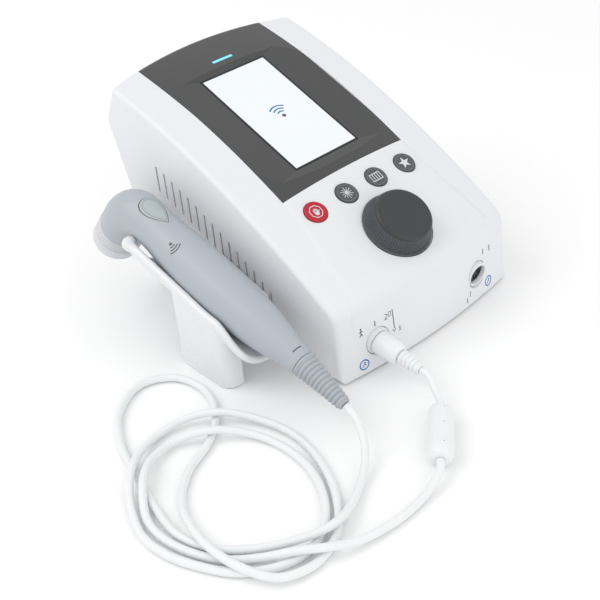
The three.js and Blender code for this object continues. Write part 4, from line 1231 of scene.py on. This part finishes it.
def holder_bead():
    """The rolled edge, from the front of the trough up and along its near rim."""
    rim = [(38.5, 31.2), (44, 37.6), (50, 45), (56, 49), (66, 51), (90, 58.3), (118, 66.7)]
    edge = [on_trough(36.6, math.radians(a)) for a in (28, 60, 90, 120)]
    edge += [on_rim(y, z) for y, z in rim] + [(-127.2, 132, 69.9), (-124.9, 143.4, 70.6)]
    return sweep(spline_through(edge, 8), 2.5, 16)


def holder_finger():
    """The ball at the end of the rim."""
    ball = [(5.2 * math.sin(a), -5.2 * math.cos(a)) for a in np.linspace(0, math.pi, 17)]
    ball[0], ball[-1] = (0, -5.2), (0, 5.2)
    return lathe_mesh(ball, placed(PLANE_X - 16.9, 143.4, 69.4), 28)


def make_holder():
    """The trough, cut to its outline, joined to its leg, pad, bead and finger, and softened."""
    inner, outer = 17.9, 22.2
    ring = [polar(outer, -a) for a in np.linspace(0, math.pi, 41)]
    ring += [polar(inner, -a) for a in np.linspace(math.pi, 0, 41)]
    rim = [(150, 150), (-60, 150), (-60, 0), (14, 2)] + arc_points((22, 24), (30, 26), (37, 30))
    rim += arc_points((46, 36), (50, 51), (66, 51)) + [(150, 76.4)]
    front = [(-60, 160), (-60, -10), (36, -10)] + arc_points((36, 22), (40, 34), (50, 60)) + [(60, 160)]
    tip = [(190, 160), (142, 160)] + arc_points((142, 76), (142, 58), (122, 40))
    tip += [(122, -10), (190, -10)]
    pad = carve(box((-98, 62, 33), (-80.3, 108, 62)), (CUT, BORE), (CUT, FAR_BLOCK))
    mesh = carve(
        prism(ring, -40, 92, TROUGH_AXIS),
        (CUT, prism(rim, -140, PLANE_X, SIDEWAYS)), (CUT, FAR_BLOCK),
        (CUT, prism(front, -140, -68, SIDEWAYS)), (CUT, prism(tip, -140, -68, SIDEWAYS)),
        (JOIN, holder_leg()), (JOIN, pad), (JOIN, holder_bead()), (JOIN, holder_finger()),
    )
    form = solid(mesh)
    voxels = form.modifiers.new("voxels", "REMESH")
    voxels.mode = "VOXEL"
    voxels.voxel_size = 0.85
    smooth = form.modifiers.new("soft", "SMOOTH")
    smooth.factor = 0.5
    smooth.iterations = 7
    in_console(applied(form), "moulded_holder", HOLDER_WHITE, "console", ["applicator_holder"], 70)


make_housing()
make_bezel()
make_screen()
make_keys()
make_knob()
make_prints()
make_sockets()
make_handle()
make_thumb_pad()
make_head()
make_boot()
make_handle_marks()
make_holder()

# ---------- CAD nodes that keep their shape ----------
CORNERS = ["front_left", "front_right", "rear_left", "rear_right"]
KEPT = {
    WHITE: ["base_tray", "rear_panel"],
    BLACK: ["display_panel", "mains_inlet", "switch_frame", "power_rocker"],
    METAL: ["heat_sink"], CERAMIC: ["piezo_disc"],
    BOARD: ["display_board", "key_board", "generator_board", "power_board", "thumb_key_board"],
    STEEL: ["encoder_shaft", "encoder_body", "holder_screw_1", "holder_screw_2"]
    + [corner + "_screw" for corner in CORNERS],
    RUBBER: [corner + "_foot" for corner in CORNERS],
}
for material, names in KEPT.items():
    for node in names:
        mesh = NODES[node].data
        mesh.materials.clear()
        mesh.materials.append(material)

# ---------- floor and light ----------
FLOOR_HALF = 6  # metres


def make_stage():
    """A pale floor just under the feet, a white world and two soft lights."""
    corners = [(x * FLOOR_HALF, y * FLOOR_HALF, 0) for x, y in ((-1, -1), (1, -1), (1, 1), (-1, 1))]
    mesh = bpy.data.meshes.new("floor")
    mesh.from_pydata(corners, [], [(0, 1, 2, 3)])
    mesh.materials.append(surface("floor_paper", (0.93, 0.93, 0.93), 0.9, 40, 0.0, 0.004))
    floor = linked("floor", mesh)
    floor.location.z = -0.0002
    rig.stage(floor)
    world = bpy.data.worlds.new("studio")
    world.use_nodes = True
    fill(world.node_tree.nodes["Background"], {"Color": (1, 1, 1, 1), "Strength": 0.9})
    bpy.context.scene.world = world
    bpy.context.scene.view_settings.view_transform = "Standard"
    for name, spot, size, power in (
        ("key", (-1.0, 0.7, 1.5), 1.2, 9),
        ("fill", (-0.1, -1.5, 0.7), 1.6, 5),
    ):
        light = bpy.data.lights.new(name, "AREA")
        light.size = size
        light.energy = power
        lamp = linked(name, light)
        lamp.location = spot
        lamp.rotation_mode = "QUATERNION"
        lamp.rotation_quaternion = (Vector((0, 0, 0.05)) - Vector(spot)).to_track_quat("-Z", "Y")


make_stage()

with open("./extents.json", "w") as file:
    json.dump({"cad": CAD_BOX, "visual": [list(corner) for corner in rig.bounds()]}, file)
